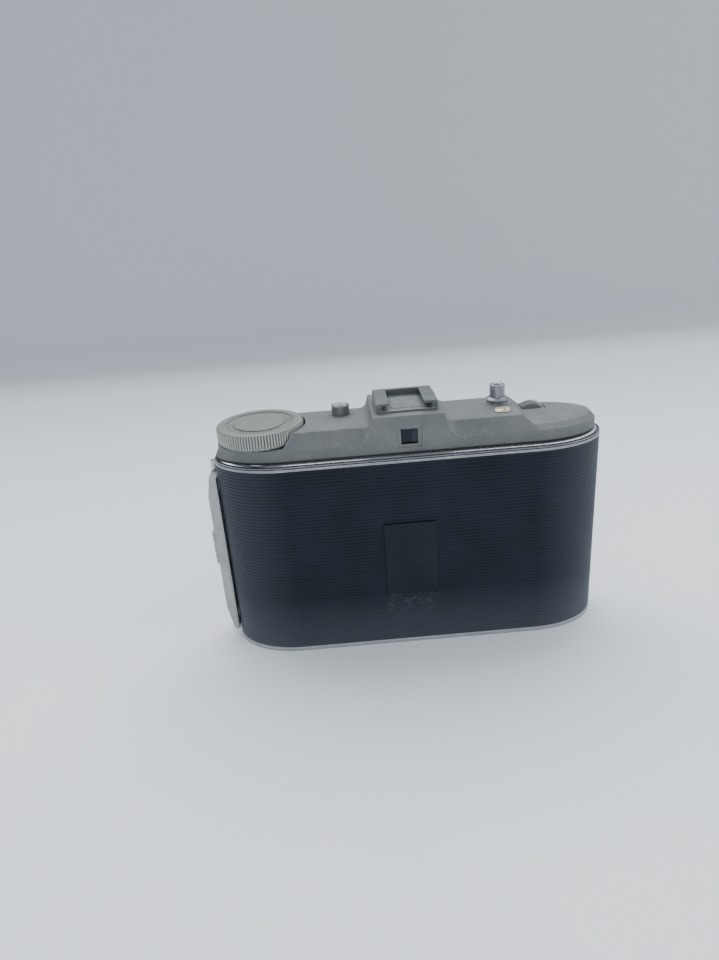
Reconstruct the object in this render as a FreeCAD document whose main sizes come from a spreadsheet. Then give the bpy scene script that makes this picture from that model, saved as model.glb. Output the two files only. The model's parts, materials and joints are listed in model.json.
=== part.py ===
"""A folding roll-film rangefinder camera, closed, standing on its base.

Frame: +Z up, the back faces +Y, the lens and its door face -Y, the winding knob is on the +X side.
The origin is the mouth of the tripod bush, in the plane of the base. Millimetres throughout.
"""
import FreeCAD, Part
import os
import re
import Sketcher

V = FreeCAD.Vector

# alias: (value, meaning). Every size below is an expression in these words.
SIZES = {
    # body, seen from above: straight sides with half-elliptical ends
    "body_length": (148, "overall length across the rounded ends"),
    "body_depth": (36, "depth of the body without the door"),
    "end_round": (27.2, "length of one elliptical end"),
    "band_base": (1.8, "height of the bright band round the base"),
    "covering": (0.6, "thickness of the leatherette"),
    "cover_wall": (1.2, "sheet thickness of the back cover"),
    "cover_play": (0.3, "gap between back cover and casting"),
    "case_wall": (2.0, "wall of the body casting"),
    "back_top": (78.4, "top edge of the leatherette"),
    "case_top": (79.4, "top of the body casting"),
    "trim_top": (80.7, "top of the bright bead"),
    "trim_width": (4.5, "width of the bead and its ledge"),
    "film_low": (9, "floor of the film chambers"),
    "film_high": (72, "ceiling of the film chambers"),
    "case_plate": (1.5, "thickness of floor and ceiling"),
    "lens_height": (40.5, "height of the lens axis"),
    # dark chamber and film gate
    "tunnel_half": (32, "half width of the dark chamber"),
    "gate_front": (11.7, "front face of the film gate"),
    "gate_back": (13.2, "film plane"),
    "gate_half": (28, "half side of the film gate opening"),
    "surround_half": (40, "half width of the raised door surround"),
    "surround_face": (21.9, "how far forward the door surround stands"),
    # front door
    "door_half": (38, "half width of the front door"),
    "door_low": (3.4, "lower edge of the door"),
    "door_high": (76.4, "upper edge of the door"),
    "door_inner": (22.0, "inner face of the door, forward of the centre"),
    "door_wall": (1.2, "sheet thickness of the door"),
    "door_axis_fore": (22.6, "door hinge axis, forward of the centre"),
    "door_axis_up": (2.6, "door hinge axis, above the base"),
    "knuckle": (1.3, "radius of the door hinge knuckles"),
    "knuckle_span": (34, "half length of the door hinge"),
    "knuckle_split": (20, "half length of the body's middle knuckle"),
    # top housing
    "roof_half_length": (72, "half length of the top housing"),
    "roof_half_depth": (15.2, "half depth of the top housing"),
    "roof_end": (25.2, "length of the housing's elliptical end"),
    "roof_wall": (1.4, "wall of the top housing"),
    "knob_flare": (1.4, "how far the housing's foot reaches out further at the knob end"),
    "roof_shoulder": (85.6, "height where the upright wall ends"),
    "tip_drop": (3.2, "height of the sloping facet at the release end"),
    "tip_run": (2.2, "how far that facet leans in"),
    "deck_low": (87.2, "deck at the release end"),
    "deck_knob": (86.0, "deck under the winding knob"),
    "deck_high": (91.0, "raised middle deck"),
    "deck_half": (12.0, "half depth of the raised deck"),
    "deck_left": (48, "end of the raised deck at the knob, before the knob's pocket is cut"),
    "deck_right": (41.3, "end of the raised deck at the release"),
    "deck_foot": (46.5, "foot of the slope at the release end"),
    "hump_top": (95.2, "top of the finder hump"),
    "hump_mid": (0.5, "middle of the finder hump"),
    "hump_half_top": (12.9, "half width of the hump at its top"),
    "hump_half_foot": (15.9, "half width of the hump at its foot"),
    "eye_mid": (0.45, "middle of the eyepiece"),
    "eye_half": (3.3, "half width of the eyepiece opening"),
    "eye_low": (84.0, "lower edge of the eyepiece opening"),
    "eye_high": (90.2, "upper edge of the eyepiece opening"),
    "eye_frame": (1.5, "width of the eyepiece frame"),
    # winding knob and its shaft
    "knob_mid": (55.3, "knob axis, from the middle"),
    "knob_radius": (16.4, "radius of the winding knob"),
    "knob_low": (86.4, "underside of the winding knob"),
    "knob_top": (92.3, "top of the winding knob"),
    "disc_radius": (9.6, "radius of the knob's centre disc"),
    "recess_radius": (13.0, "outer radius of the ring sunk into the knob's top"),
    "recess_drop": (0.4, "depth of that ring"),
    "shaft": (2.5, "radius of the winding shaft"),
    "fit": (0.05, "radial clearance of a running fit"),
    "spool_flange": (12.6, "radius of a film spool's flanges"),
    "spool_core": (6.0, "radius of a film spool's core"),
    "spool_low": (9.4, "lower end of the take-up spool"),
    "spool_high": (71.6, "upper end of the take-up spool"),
    "pin_radius": (2.2, "radius of the spool pins"),
    "pin_disc": (6.2, "radius of the spool pins' pull discs"),
    "roller_mid": (37, "film rollers, from the middle"),
    "roller_back": (12.2, "film rollers, back from the centre"),
    "roller_radius": (2.5, "radius of the film rollers"),
    # buttons, wheel and rangefinder
    "button_mid": (24.6, "door button, from the middle"),
    "button_fore": (6.1, "door button, forward of the centre"),
    "button_radius": (3.45, "radius of the door button"),
    "button_top": (95.1, "top of the door button"),
    "release_mid": (35.8, "shutter release, from the middle"),
    "release_fore": (4.7, "shutter release, forward of the centre"),
    "release_radius": (2.87, "radius of the release plunger"),
    "release_top": (98.4, "top of the release plunger"),
    "cable_bore": (1.35, "radius of the cable release thread"),
    "cable_depth": (5, "depth of the cable release thread"),
    "screw_mid": (35.6, "cross slot screw, from the middle"),
    "screw_back": (5.6, "cross slot screw, back from the centre"),
    "screw_radius": (3.2, "radius of the cross slot screw"),
    "wheel_mid": (49.3, "rangefinder wheel, from the middle"),
    "wheel_up": (83.4, "rangefinder wheel axis, above the base"),
    "wheel_radius": (6.4, "radius of the rangefinder wheel"),
    "wheel_fore": (5.3, "near face of the wheel, forward of the centre"),
    "wheel_width": (4.0, "width of the rangefinder wheel"),
    "axle_radius": (1.2, "radius of the rangefinder wheel's axle"),
    "mirror_mid": (58, "swinging mirror, from the middle"),
    "mirror_back": (0.5, "rangefinder light path, back from the centre"),
    # accessory shoe
    "shoe_mid": (0.6, "middle of the accessory shoe"),
    "shoe_half": (11.4, "half width of the accessory shoe"),
    "shoe_gap": (6.4, "half gap between the shoe's lips"),
    "shoe_fore": (8.4, "front end of the shoe"),
    "shoe_back": (11.0, "rear end of the shoe"),
    "shoe_floor": (96.0, "top of the shoe's floor"),
    "shoe_lip": (98.0, "underside of the shoe's lips"),
    "shoe_top": (98.9, "top of the shoe's lips"),
    "shoe_wall": (2.1, "wall of the shoe"),
    # back cover, its hinge, latch and film window
    "back_edge": (0.3, "front edge of the back cover"),
    "hinge_mid": (73.2, "back hinge axis, from the middle"),
    "hinge_fore": (2.2, "back hinge axis, forward of the centre"),
    "hinge_radius": (1.5, "radius of the back hinge knuckles"),
    "hinge_pin": (0.7, "radius of the back hinge pin"),
    "latch_low": (4.0, "lower end of the latch bar"),
    "latch_high": (72.5, "upper end of the latch bar"),
    "latch_inner": (74.3, "inner face of the latch bar"),
    "latch_outer": (79.0, "outer face of the latch bar"),
    "latch_mid": (75.6, "latch pivot, from the middle"),
    "latch_fore": (6.0, "latch pivot, forward of the centre"),
    "latch_pin": (0.7, "radius of the latch's pivot pins"),
    "tab_low": (33.5, "lower end of the latch's thumb tab"),
    "tab_high": (47.5, "upper end of the latch's thumb tab"),
    "window_mid": (2.0, "middle of the film window"),
    "window_radius": (3.0, "radius of the film window"),
    "slide_half": (10.0, "half width of the window slide"),
    "slide_low": (23.4, "lower edge of the window slide, closed"),
    "slide_high": (54.0, "upper edge of the window slide, closed"),
    "runner_mid": (9.3, "window slide's runners, from its middle"),
    # lens standard, folded into the body; heights run forward from lens_rear
    "lens_rear": (8.0, "plane that lens heights are measured from, back from the centre"),
    "standard_half": (29, "half width of the lens standard"),
    "shutter_radius": (21, "radius of the shutter housing"),
    "focus_radius": (14.2, "radius of the focusing ring"),
    "glass_radius": (9.1, "radius of the front lens"),
    "strut_fore": (14, "strut pivot, forward of the centre"),
    "strut_up": (67, "strut pivot, above the base"),
    "strut_reach": (54, "strut pivot to the middle of its far end"),
    "strut_lean": (23.2, "degrees that the folded strut leans back"),
    "strut_inner": (30.2, "inner face of the struts"),
    "ear_up": (26, "standard's strut pins, above the base"),
    # tripod bush
    "bush_bore": (2.6, "radius of the tripod thread"),
    "bush_depth": (6.5, "depth of the tripod thread"),
}

BASE_SCREW = 1.6        # radius of the base plate's screw heads
BASE_SCREWS = [(x, y) for x in (-34, 34) for y in (-13, 13)]
SHOE_SCREW = 1.3        # radius of the accessory shoe's screw heads
SHOE_SCREWS = [(x, y) for x in (-4.4, 5.6) for y in (-1.5, 6.5)]

doc = FreeCAD.newDocument("camera")
sheet = doc.addObject("Spreadsheet::Sheet", "dim")
for row, (alias, (size, meaning)) in enumerate(SIZES.items(), start=1):
    sheet.set(f"A{row}", meaning)
    sheet.set(f"B{row}", str(size))
    sheet.setAlias(f"B{row}", alias)
doc.recompute()

WORD = re.compile(r"[a-z_]{3,}")
FACING = {
    "up": FreeCAD.Rotation(),
    "front": FreeCAD.Rotation(V(1, 0, 0), 90),      # local Z runs to -Y, local Y runs up
    "back": FreeCAD.Rotation(V(1, 0, 0), -90),      # local Z runs to +Y
    "side": FreeCAD.Rotation(V(1, 1, 1), 120),      # local X, Y, Z run to Y, Z, X
}
nodes = {}


def tied(size):
    """The expression for a size written in the sheet's words."""
    return WORD.sub(lambda word: "dim." + word.group(), str(size))


def bind(piece, **sizes):
    for prop, size in sizes.items():
        piece.setExpression(prop, tied(size))


def place(piece, x=0, y=0, z=0, facing="up"):
    piece.Placement = FreeCAD.Placement(V(0, 0, 0), FACING[facing])
    for axis, at in zip("xyz", (x, y, z)):
        piece.setExpression("Placement.Base." + axis, tied(at))
    return piece


def box(name, xs, ys, zs):
    """A block from its low and high X, Y and Z."""
    piece = doc.addObject("Part::Box", name)
    spans = [f"({high}) - ({low})" for low, high in (xs, ys, zs)]
    bind(piece, Length=spans[0], Width=spans[1], Height=spans[2])
    return place(piece, xs[0], ys[0], zs[0])


def rod(name, radius, x, y, z, axis="Z"):
    """A cylinder; the coordinate along its axis is a (low, high) pair."""
    piece = doc.addObject("Part::Cylinder", name)
    low, high = {"X": x, "Y": y, "Z": z}[axis]
    bind(piece, Radius=radius, Height=f"({high}) - ({low})")
    start = [low if isinstance(at, tuple) else at for at in (x, y, z)]
    return place(piece, *start, facing={"X": "side", "Y": "back", "Z": "up"}[axis])


def fuse(name, *pieces):
    piece = doc.addObject("Part::MultiFuse", name)
    piece.Shapes = list(pieces)
    piece.Refine = True
    return piece


def cut(name, base, *tools):
    piece = doc.addObject("Part::Cut", name)
    piece.Base = base
    piece.Tool = tools[0] if len(tools) == 1 else fuse(name + "_tools", *tools)
    piece.Refine = True
    return piece


def common(name, first, second):
    piece = doc.addObject("Part::MultiCommon", name)
    piece.Shapes = [first, second]
    return piece


def group(name, *pieces):
    piece = doc.addObject("Part::Compound", name)
    piece.Links = list(pieces)
    return piece


def stadium(name, half_length, half_depth, end, low, high):
    """A block with straight sides and half-elliptical ends."""
    parts = [box(name + "_mid", (f"-(({half_length}) - ({end}))", f"({half_length}) - ({end})"),
                 (f"-({half_depth})", half_depth), (low, high))]
    for side in "-+":
        outline = doc.addObject("Part::Ellipse", name + "_outline")
        bind(outline, MajorRadius=end, MinorRadius=half_depth)
        place(outline, f"{side}(({half_length}) - ({end}))", 0, low)
        round_end = doc.addObject("Part::Extrusion", name + "_end")
        round_end.Base = outline
        round_end.DirMode = "Custom"
        round_end.Dir = V(0, 0, 1)
        round_end.Solid = True
        bind(round_end, LengthFwd=f"({high}) - ({low})")
        parts.append(round_end)
    return fuse(name, *parts)


def shrunk(name, inset, low, high):
    """The body's plan, smaller by an inset all round."""
    return stadium(name, f"body_length / 2 - ({inset})", f"body_depth / 2 - ({inset})",
                   f"end_round - ({inset})", low, high)


def ring(name, outer, inner, low, high):
    """A band between two insets of the body's plan."""
    return cut(name, shrunk(name + "_outer", outer, low, high),
               shrunk(name + "_inner", inner, f"({low}) - 1", f"({high}) + 1"))


def wedge(name, foot, top, low, high):
    """A block whose top is (x, x, half depth) and whose foot is another such rectangle."""
    piece = doc.addObject("Part::Wedge", name)
    bind(piece, Xmin=foot[0], Xmax=foot[1], Zmin=f"-({foot[2]})", Zmax=foot[2],
         X2min=top[0], X2max=top[1], Z2min=f"-({top[2]})", Z2max=top[2],
         Ymin=0, Ymax=f"({high}) - ({low})")
    return place(piece, 0, 0, low, facing="front")


def section(body, plane, outline):
    """A closed sketch of straight lines; every corner is dimensioned from the origin."""
    sketch = body.newObject("Sketcher::SketchObject", body.Name + "_section")
    base = next(face for face in body.Origin.OriginFeatures if face.Role == plane)
    sketch.AttachmentSupport = [(base, "")]
    sketch.MapMode = "FlatFace"
    count = len(outline)
    for i in range(count):
        sketch.addGeometry(Part.LineSegment(V(i, i * i, 0), V(i + 1, (i + 1) ** 2, 0)), False)
    for i in range(count):
        sketch.addConstraint(Sketcher.Constraint("Coincident", i, 2, (i + 1) % count, 1))
    for i, corner in enumerate(outline):
        for kind, size, axis in zip(("DistanceX", "DistanceY"), corner, (-2, -1)):
            if size == 0:
                sketch.addConstraint(Sketcher.Constraint("PointOnObject", i, 1, axis))
                continue
            index = sketch.addConstraint(Sketcher.Constraint(kind, -1, 1, i, 1, 1.0 + i))
            sketch.setExpression(f"Constraints[{index}]", tied(size))
    return sketch


def turned(name, outline, x=0, y=0, z=0, facing="up"):
    """A round piece: its (radius, height) outline turned about the piece's own axis."""
    body = doc.addObject("PartDesign::Body", name)
    sketch = section(body, "XZ_Plane", outline)
    turn = body.newObject("PartDesign::Revolution", name + "_turn")
    turn.Profile = sketch
    turn.ReferenceAxis = (sketch, ["V_Axis"])
    turn.Angle = 360
    body.Tip = turn
    return place(body, x, y, z, facing)


def tube(name, inner, outer, low, high, **where):
    return turned(name, [(inner, low), (outer, low), (outer, high), (inner, high)], **where)


def prism(name, outline, depth, x=0, y=0, z=0, facing="up"):
    """A piece of one section, padded to a depth along the direction that it faces."""
    body = doc.addObject("PartDesign::Body", name)
    sketch = section(body, "XY_Plane", outline)
    pad = body.newObject("PartDesign::Pad", name + "_pad")
    pad.Profile = sketch
    bind(pad, Length=depth)
    body.Tip = pad
    return place(body, x, y, z, facing)


def rounded(name, base, radius, wanted):
    """Rounds the edges of a finished piece that the test wants."""
    doc.recompute()
    piece = doc.addObject("Part::Fillet", name)
    piece.Base = base
    edges = enumerate(base.Shape.Edges, start=1)
    piece.Edges = [(i, radius, radius) for i, edge in edges if wanted(edge.BoundBox)]
    return piece


def node(name, piece):
    piece.Label = name
    nodes[name] = piece


def on_lens(name, outline):
    """A round piece on the lens axis; heights run forward from the lens's rear plane."""
    return turned(name, outline, y="lens_rear", z="lens_height", facing="front")


def lens_ring(name, inner, outer, low, high):
    return on_lens(name, [(inner, low), (outer, low), (outer, high), (inner, high)])


def body_casting():
    """The die-cast body: front wall, end walls, floor, ceiling and dark chamber."""
    front_half = box("front_half", (-90, 90), (-60, 0), (-5, 120))
    outside = common("case_front", shrunk("case_plan", "covering", "band_base", "case_top"), front_half)
    inside = shrunk("case_core", "covering + cover_wall + cover_play", "band_base", "case_top")
    surround = box("door_surround", ("-surround_half", "surround_half"),
                   ("-surround_face", "-16"), ("band_base", "back_top"))
    block = fuse("case_block", outside, inside, surround)
    hollows = [
        shrunk("film_space", "covering + case_wall", "film_low", "film_high"),
        box("back_opening", (-80, 80), (0, 40), ("film_low", "film_high")),
        shrunk("under_space", "covering + 2 * case_wall", "0", "film_low - case_plate"),
        shrunk("upper_space", "covering + 2 * case_wall", "film_high + case_plate", "case_top + 1"),
        box("door_opening", ("-tunnel_half", "tunnel_half"), (-30, -10), ("film_low", "film_high")),
        box("knuckle_groove", ("-knuckle_span - 1", "knuckle_span + 1"), (-30, "-door_axis_fore + 1.6"),
            (0, "door_axis_up + 1.7")),
        box("tongue_slot", ("button_mid - 4.6", "button_mid + 4.6"), (-30, -17), (71, 75)),
        box("catch_channel", ("button_mid - 2.4", "button_mid + 2.4"), (-20.4, -10), (71, 77.4)),
        rod("shaft_hole", "shaft + fit", "knob_mid", 0, (70, 76)),
        box("hinge_pocket", (-80, "-hinge_mid + 1.2"), ("-hinge_fore", 1), (0, 90)),
        rod("hinge_relief", "hinge_radius + 0.3", "-hinge_mid", "-hinge_fore", (0, 90)),
    ]
    for side in ("", "-"):
        hollows.append(rod("pin_hole", "pin_radius + fit", side + "knob_mid", 0, (5, 10)))
        hollows.append(rod("roller_hole", 1.05, side + "roller_mid", "roller_back", (7.9, 73.1)))
    hollow_case = cut("case_hollow", block, *hollows)
    additions = [box("tunnel_wall", (f"{side}tunnel_half", f"{side}(tunnel_half + case_wall)")[::step],
                     (-16.5, "gate_front"), ("film_low", "film_high"))
                 for side, step in (("", 1), ("-", -1))]
    for low, high in ((3, 13.9), (35, 45), (66.1, 77)):
        web = box("case_web", ("-hinge_mid", "-hinge_mid + 1.6"),
                  ("-hinge_fore - 1.4", "-hinge_fore - 0.2"), (low, high))
        knuckle = rod("case_knuckle", "hinge_radius", "-hinge_mid", "-hinge_fore", (low, high))
        additions.append(fuse("case_hinge", knuckle, web))
    additions.append(fuse("door_knuckle_mid",
                          rod("mid_knuckle", "knuckle", ("-knuckle_split + 0.2", "knuckle_split - 0.2"),
                              "-door_axis_fore", "door_axis_up", axis="X"),
                          box("mid_knuckle_foot", ("-knuckle_split + 0.2", "knuckle_split - 0.2"),
                              ("-door_axis_fore", -20.5), ("band_base + 0.1", "door_axis_up + 0.6"))))
    additions.append(rod("supply_pivot", "pin_radius", "-knob_mid", 0, (69, "film_high + 0.5")))
    whole = fuse("case_whole", hollow_case, *additions)
    node("body_casting", cut("casting", whole,
                             rod("hinge_bore", "hinge_pin", "-hinge_mid", "-hinge_fore", (0, 90)),
                             rod("door_bore", 0.6, (-50, 50), "-door_axis_fore", "door_axis_up", axis="X")))


def body_fittings():
    """Trims, plates, pins and coverings that are fastened to the casting."""
    node("base_trim", ring("base_band", 0, 1.2, 0, "band_base"))
    base_holes = [rod("bush_seat", 5, 0, 0, (0, 5))]
    base_holes += [rod("disc_hole", "pin_disc + 0.3", side + "knob_mid", 0, (0, 5)) for side in ("", "-")]
    base_holes += [rod("base_screw_hole", BASE_SCREW, x, y, (0, 5)) for x, y in BASE_SCREWS]
    node("base_plate", cut("base_sheet", shrunk("base_blank", 1.2, 0.5, "band_base"), *base_holes))
    screws = [cut("base_screw", rod("base_screw_head", BASE_SCREW, x, y, (0.3, "band_base")),
                  box("base_screw_slot", (x - 1.7, x + 1.7), (y - 0.2, y + 0.2), (0.2, 0.8)))
              for x, y in BASE_SCREWS]
    shank = [(0, "hump_top"), (SHOE_SCREW, "hump_top"), (SHOE_SCREW, "shoe_floor - 0.03"),
             (0, "shoe_floor - 0.03")]
    screws += [turned("shoe_screw", shank, x=x, y=y) for x, y in SHOE_SCREWS]
    node("slotted_screws", group("slotted_screw_set", *screws))
    node("tripod_bush", turned("bush", [("bush_bore", 0), (5, 0), (5, "band_base"), (4.2, "band_base"),
                                        (4.2, "bush_depth"), ("bush_bore", "bush_depth")]))
    bead = ring("bead_blank", 0, "trim_width", "case_top + 0.1", "trim_top")
    node("top_trim", rounded("bead", bead, 0.5, lambda b: b.ZMin > 80.6 and b.YLength + b.XLength > 40
                             and (b.YMax > 17.9 or b.YMin < -17.9)))
    chassis_holes = [rod("chassis_shaft_hole", 3, "knob_mid", 0, (78, 82)),
                     rod("chassis_stem_hole", 1.9, "button_mid", "-button_fore", (78, 82)),
                     rod("chassis_rod_hole", 2.6, "-release_mid", "-release_fore", (78, 82)),
                     box("chassis_wheel_hole", ("-wheel_mid - 7", "-wheel_mid + 7"),
                         ("-wheel_fore - wheel_width - 2.2", "-wheel_fore + 2.2"), (78, 82))]
    node("chassis_plate", cut("chassis", shrunk("chassis_blank", "trim_width + 0.1", "case_top + 0.2",
                                                "trim_top - 0.1"), *chassis_holes))
    node("film_gate", cut("gate", box("gate_blank", ("-tunnel_half - case_wall", "tunnel_half + case_wall"),
                                      ("gate_front", "gate_back"), ("film_low", "film_high")),
                          box("gate_window", ("-gate_half", "gate_half"), (5, 20),
                              ("lens_height - gate_half", "lens_height + gate_half"))))
    front_band = common("front_band", ring("front_skin", 0, "covering", "band_base + 0.1", "back_top"),
                        box("front_side", (-90, 90), (-60, -0.1), (-5, 120)))
    node("front_covering", cut("front_leather", front_band,
                               box("surround_gap", ("-surround_half - 0.2", "surround_half + 0.2"),
                                   (-30, -10), (0, 90)),
                               box("hinge_gap", (-80, "-hinge_mid + 1.6"), ("-hinge_fore - 2.2", 1), (0, 90)),
                               box("latch_gap_low", (68, 80), (-8, -4.4), (0, 4.2)),
                               box("latch_gap_high", (68, 80), (-8, -4.4), (72.3, 90))))
    node("back_hinge_pin", rod("back_pin", "hinge_pin", "-hinge_mid", "-hinge_fore", (2.6, 77.4)))
    node("door_hinge_pin", rod("door_pin", 0.6, ("-knuckle_span", "knuckle_span"),
                               "-door_axis_fore", "door_axis_up", axis="X"))
    hinges = []
    for low, high, pin_low, pin_high in ((2.0, 3.8, 2.0, 7.0), (72.7, 76.5, 69.5, 76.5)):
        web = box("latch_web", (69.8, "latch_mid"), ("-latch_fore - 1", "-latch_fore + 1"), (low, high))
        lug = rod("latch_lug", 1.6, "latch_mid", "-latch_fore", (low, high))
        pin = rod("latch_stub", "latch_pin", "latch_mid", "-latch_fore", (pin_low, pin_high))
        hinges.append(cut("latch_bracket", fuse("latch_lug_whole", web, lug, pin),
                          shrunk("latch_bracket_inside", "covering", 0, 90)))
    node("latch_brackets", group("latch_bracket_pair", *hinges))


def bevelled(name, base, drop, inward):
    """Slopes the upper edge of a finished block, by a drop down its wall and a run across its top."""
    doc.recompute()
    piece = doc.addObject("Part::Chamfer", name)
    piece.Base = base
    top = base.Shape.BoundBox.ZMax
    edges = enumerate(base.Shape.Edges, start=1)
    piece.Edges = [(i, drop, inward) for i, edge in edges if edge.BoundBox.ZMin > top - 0.01]
    return piece


def top_housing():
    """The die-cast top cover with its decks, finder hump, slots and holes."""
    base = stadium("roof_base", "roof_half_length", "roof_half_depth", "roof_end", "trim_top", "deck_low")
    bevel = cut("roof_tipped", bevelled("roof_bevel", base, 1.6, 2.2),
                wedge("tip_facet", (-90, "-roof_half_length", 30), (-90, "-roof_half_length + tip_run", 30),
                      "deck_low - tip_drop", "deck_low"))
    flare = stadium("roof_flare", "roof_half_length + knob_flare", "roof_half_depth", "roof_end + knob_flare",
                    "trim_top", "deck_knob")
    skirt = common("knob_skirt", bevelled("roof_draft", flare, 4.9, 2.4),
                   box("knob_side", (40, 90), (-30, 30), (80, 90)))
    lowered = cut("roof_lowered", bevel, box("knob_deck", (38, 90), (-30, 30), ("deck_knob", 100)))
    deck = wedge("deck_block", ("-deck_foot - 0.9", "deck_left", "roof_half_depth"),
                 ("-deck_right", "deck_left", "deck_half"), "roof_shoulder", "deck_high")
    hump = wedge("hump_block", ("hump_mid - hump_half_foot", "hump_mid + hump_half_foot", "roof_half_depth"),
                 ("hump_mid - hump_half_top", "hump_mid + hump_half_top", "roof_half_depth"),
                 "roof_shoulder", "hump_top")
    outside = cut("roof_outside", fuse("roof_solid", lowered, skirt, deck, hump),
                  rod("knob_pocket", "knob_radius + 0.9", "knob_mid", 0, ("deck_knob", 100)))

    def beside_hump(b):
        off_middle = abs((b.XMin + b.XMax) / 2 - 0.5)
        return 14 < off_middle < 16 and b.XLength < 2 and b.YLength > 3 and b.ZMax < 91.1

    def sharp_edge(b):
        level = b.ZLength < 0.1
        hump_edge = b.ZMin > 95
        on_deck = level and b.ZMin > 90.9
        deck_side = on_deck and b.YLength < 0.1 and abs(abs(b.YMax) - 12) < 0.1
        deck_end = on_deck and b.XLength < 0.1 and b.XMax < -40
        return hump_edge or deck_side or deck_end

    flared = rounded("roof_flared", outside, 3.0, beside_hump)
    softened = rounded("roof_soft", flared, 0.6, sharp_edge)
    inner = fuse("roof_inside",
                 stadium("roof_core", "roof_half_length - roof_wall", "roof_half_depth - roof_wall",
                         "roof_end - roof_wall", "trim_top - 1", "deck_knob - roof_wall"),
                 wedge("deck_core", ("-deck_foot + 1", "deck_left - 11.5", "roof_half_depth - roof_wall"),
                       ("-deck_right + roof_wall", "deck_left - 11.5", "deck_half - roof_wall"),
                       "deck_knob - roof_wall - 0.5", "deck_high - roof_wall"),
                 wedge("hump_core", ("hump_mid - hump_half_foot + roof_wall",
                                     "hump_mid + hump_half_foot - roof_wall", "roof_half_depth - roof_wall"),
                       ("hump_mid - hump_half_top + roof_wall", "hump_mid + hump_half_top - roof_wall",
                        "roof_half_depth - roof_wall"), "deck_knob - roof_wall - 0.5",
                       "hump_top - roof_wall"))
    holes = [
        inner,
        box("eye_opening", ("eye_mid - eye_half", "eye_mid + eye_half"), (5, 20), ("eye_low", "eye_high")),
        box("eye_recess", ("eye_mid - eye_half - eye_frame", "eye_mid + eye_half + eye_frame"),
            ("roof_half_depth - 0.7", 20), ("eye_low - 1.1", "eye_high + 0.8")),
        box("finder_opening", ("eye_mid - 8", "eye_mid + 8"), (-20, -5), (83.5, 91.5)),
        box("range_opening", ("-mirror_mid - 3", "-mirror_mid + 3"), (-20, -5), (82.2, 84.6)),
        rod("roof_shaft_hole", "shaft + 0.3", "knob_mid", 0, (80, 100)),
        rod("roof_button_hole", "button_radius + 0.1", "button_mid", "-button_fore", (80, 100)),
        rod("roof_release_hole", 3.4, "-release_mid", "-release_fore", (80, 100)),
        rod("roof_screw_hole", 1.5, "-screw_mid", "screw_back", (80, 100)),
        rod("roof_wheel_slot", "wheel_radius + 0.4", "-wheel_mid",
            ("-wheel_fore - wheel_width - 0.4", "-wheel_fore + 0.4"), "wheel_up", axis="Y"),
    ]
    node("top_housing", cut("roof", softened, *holes))


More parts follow.
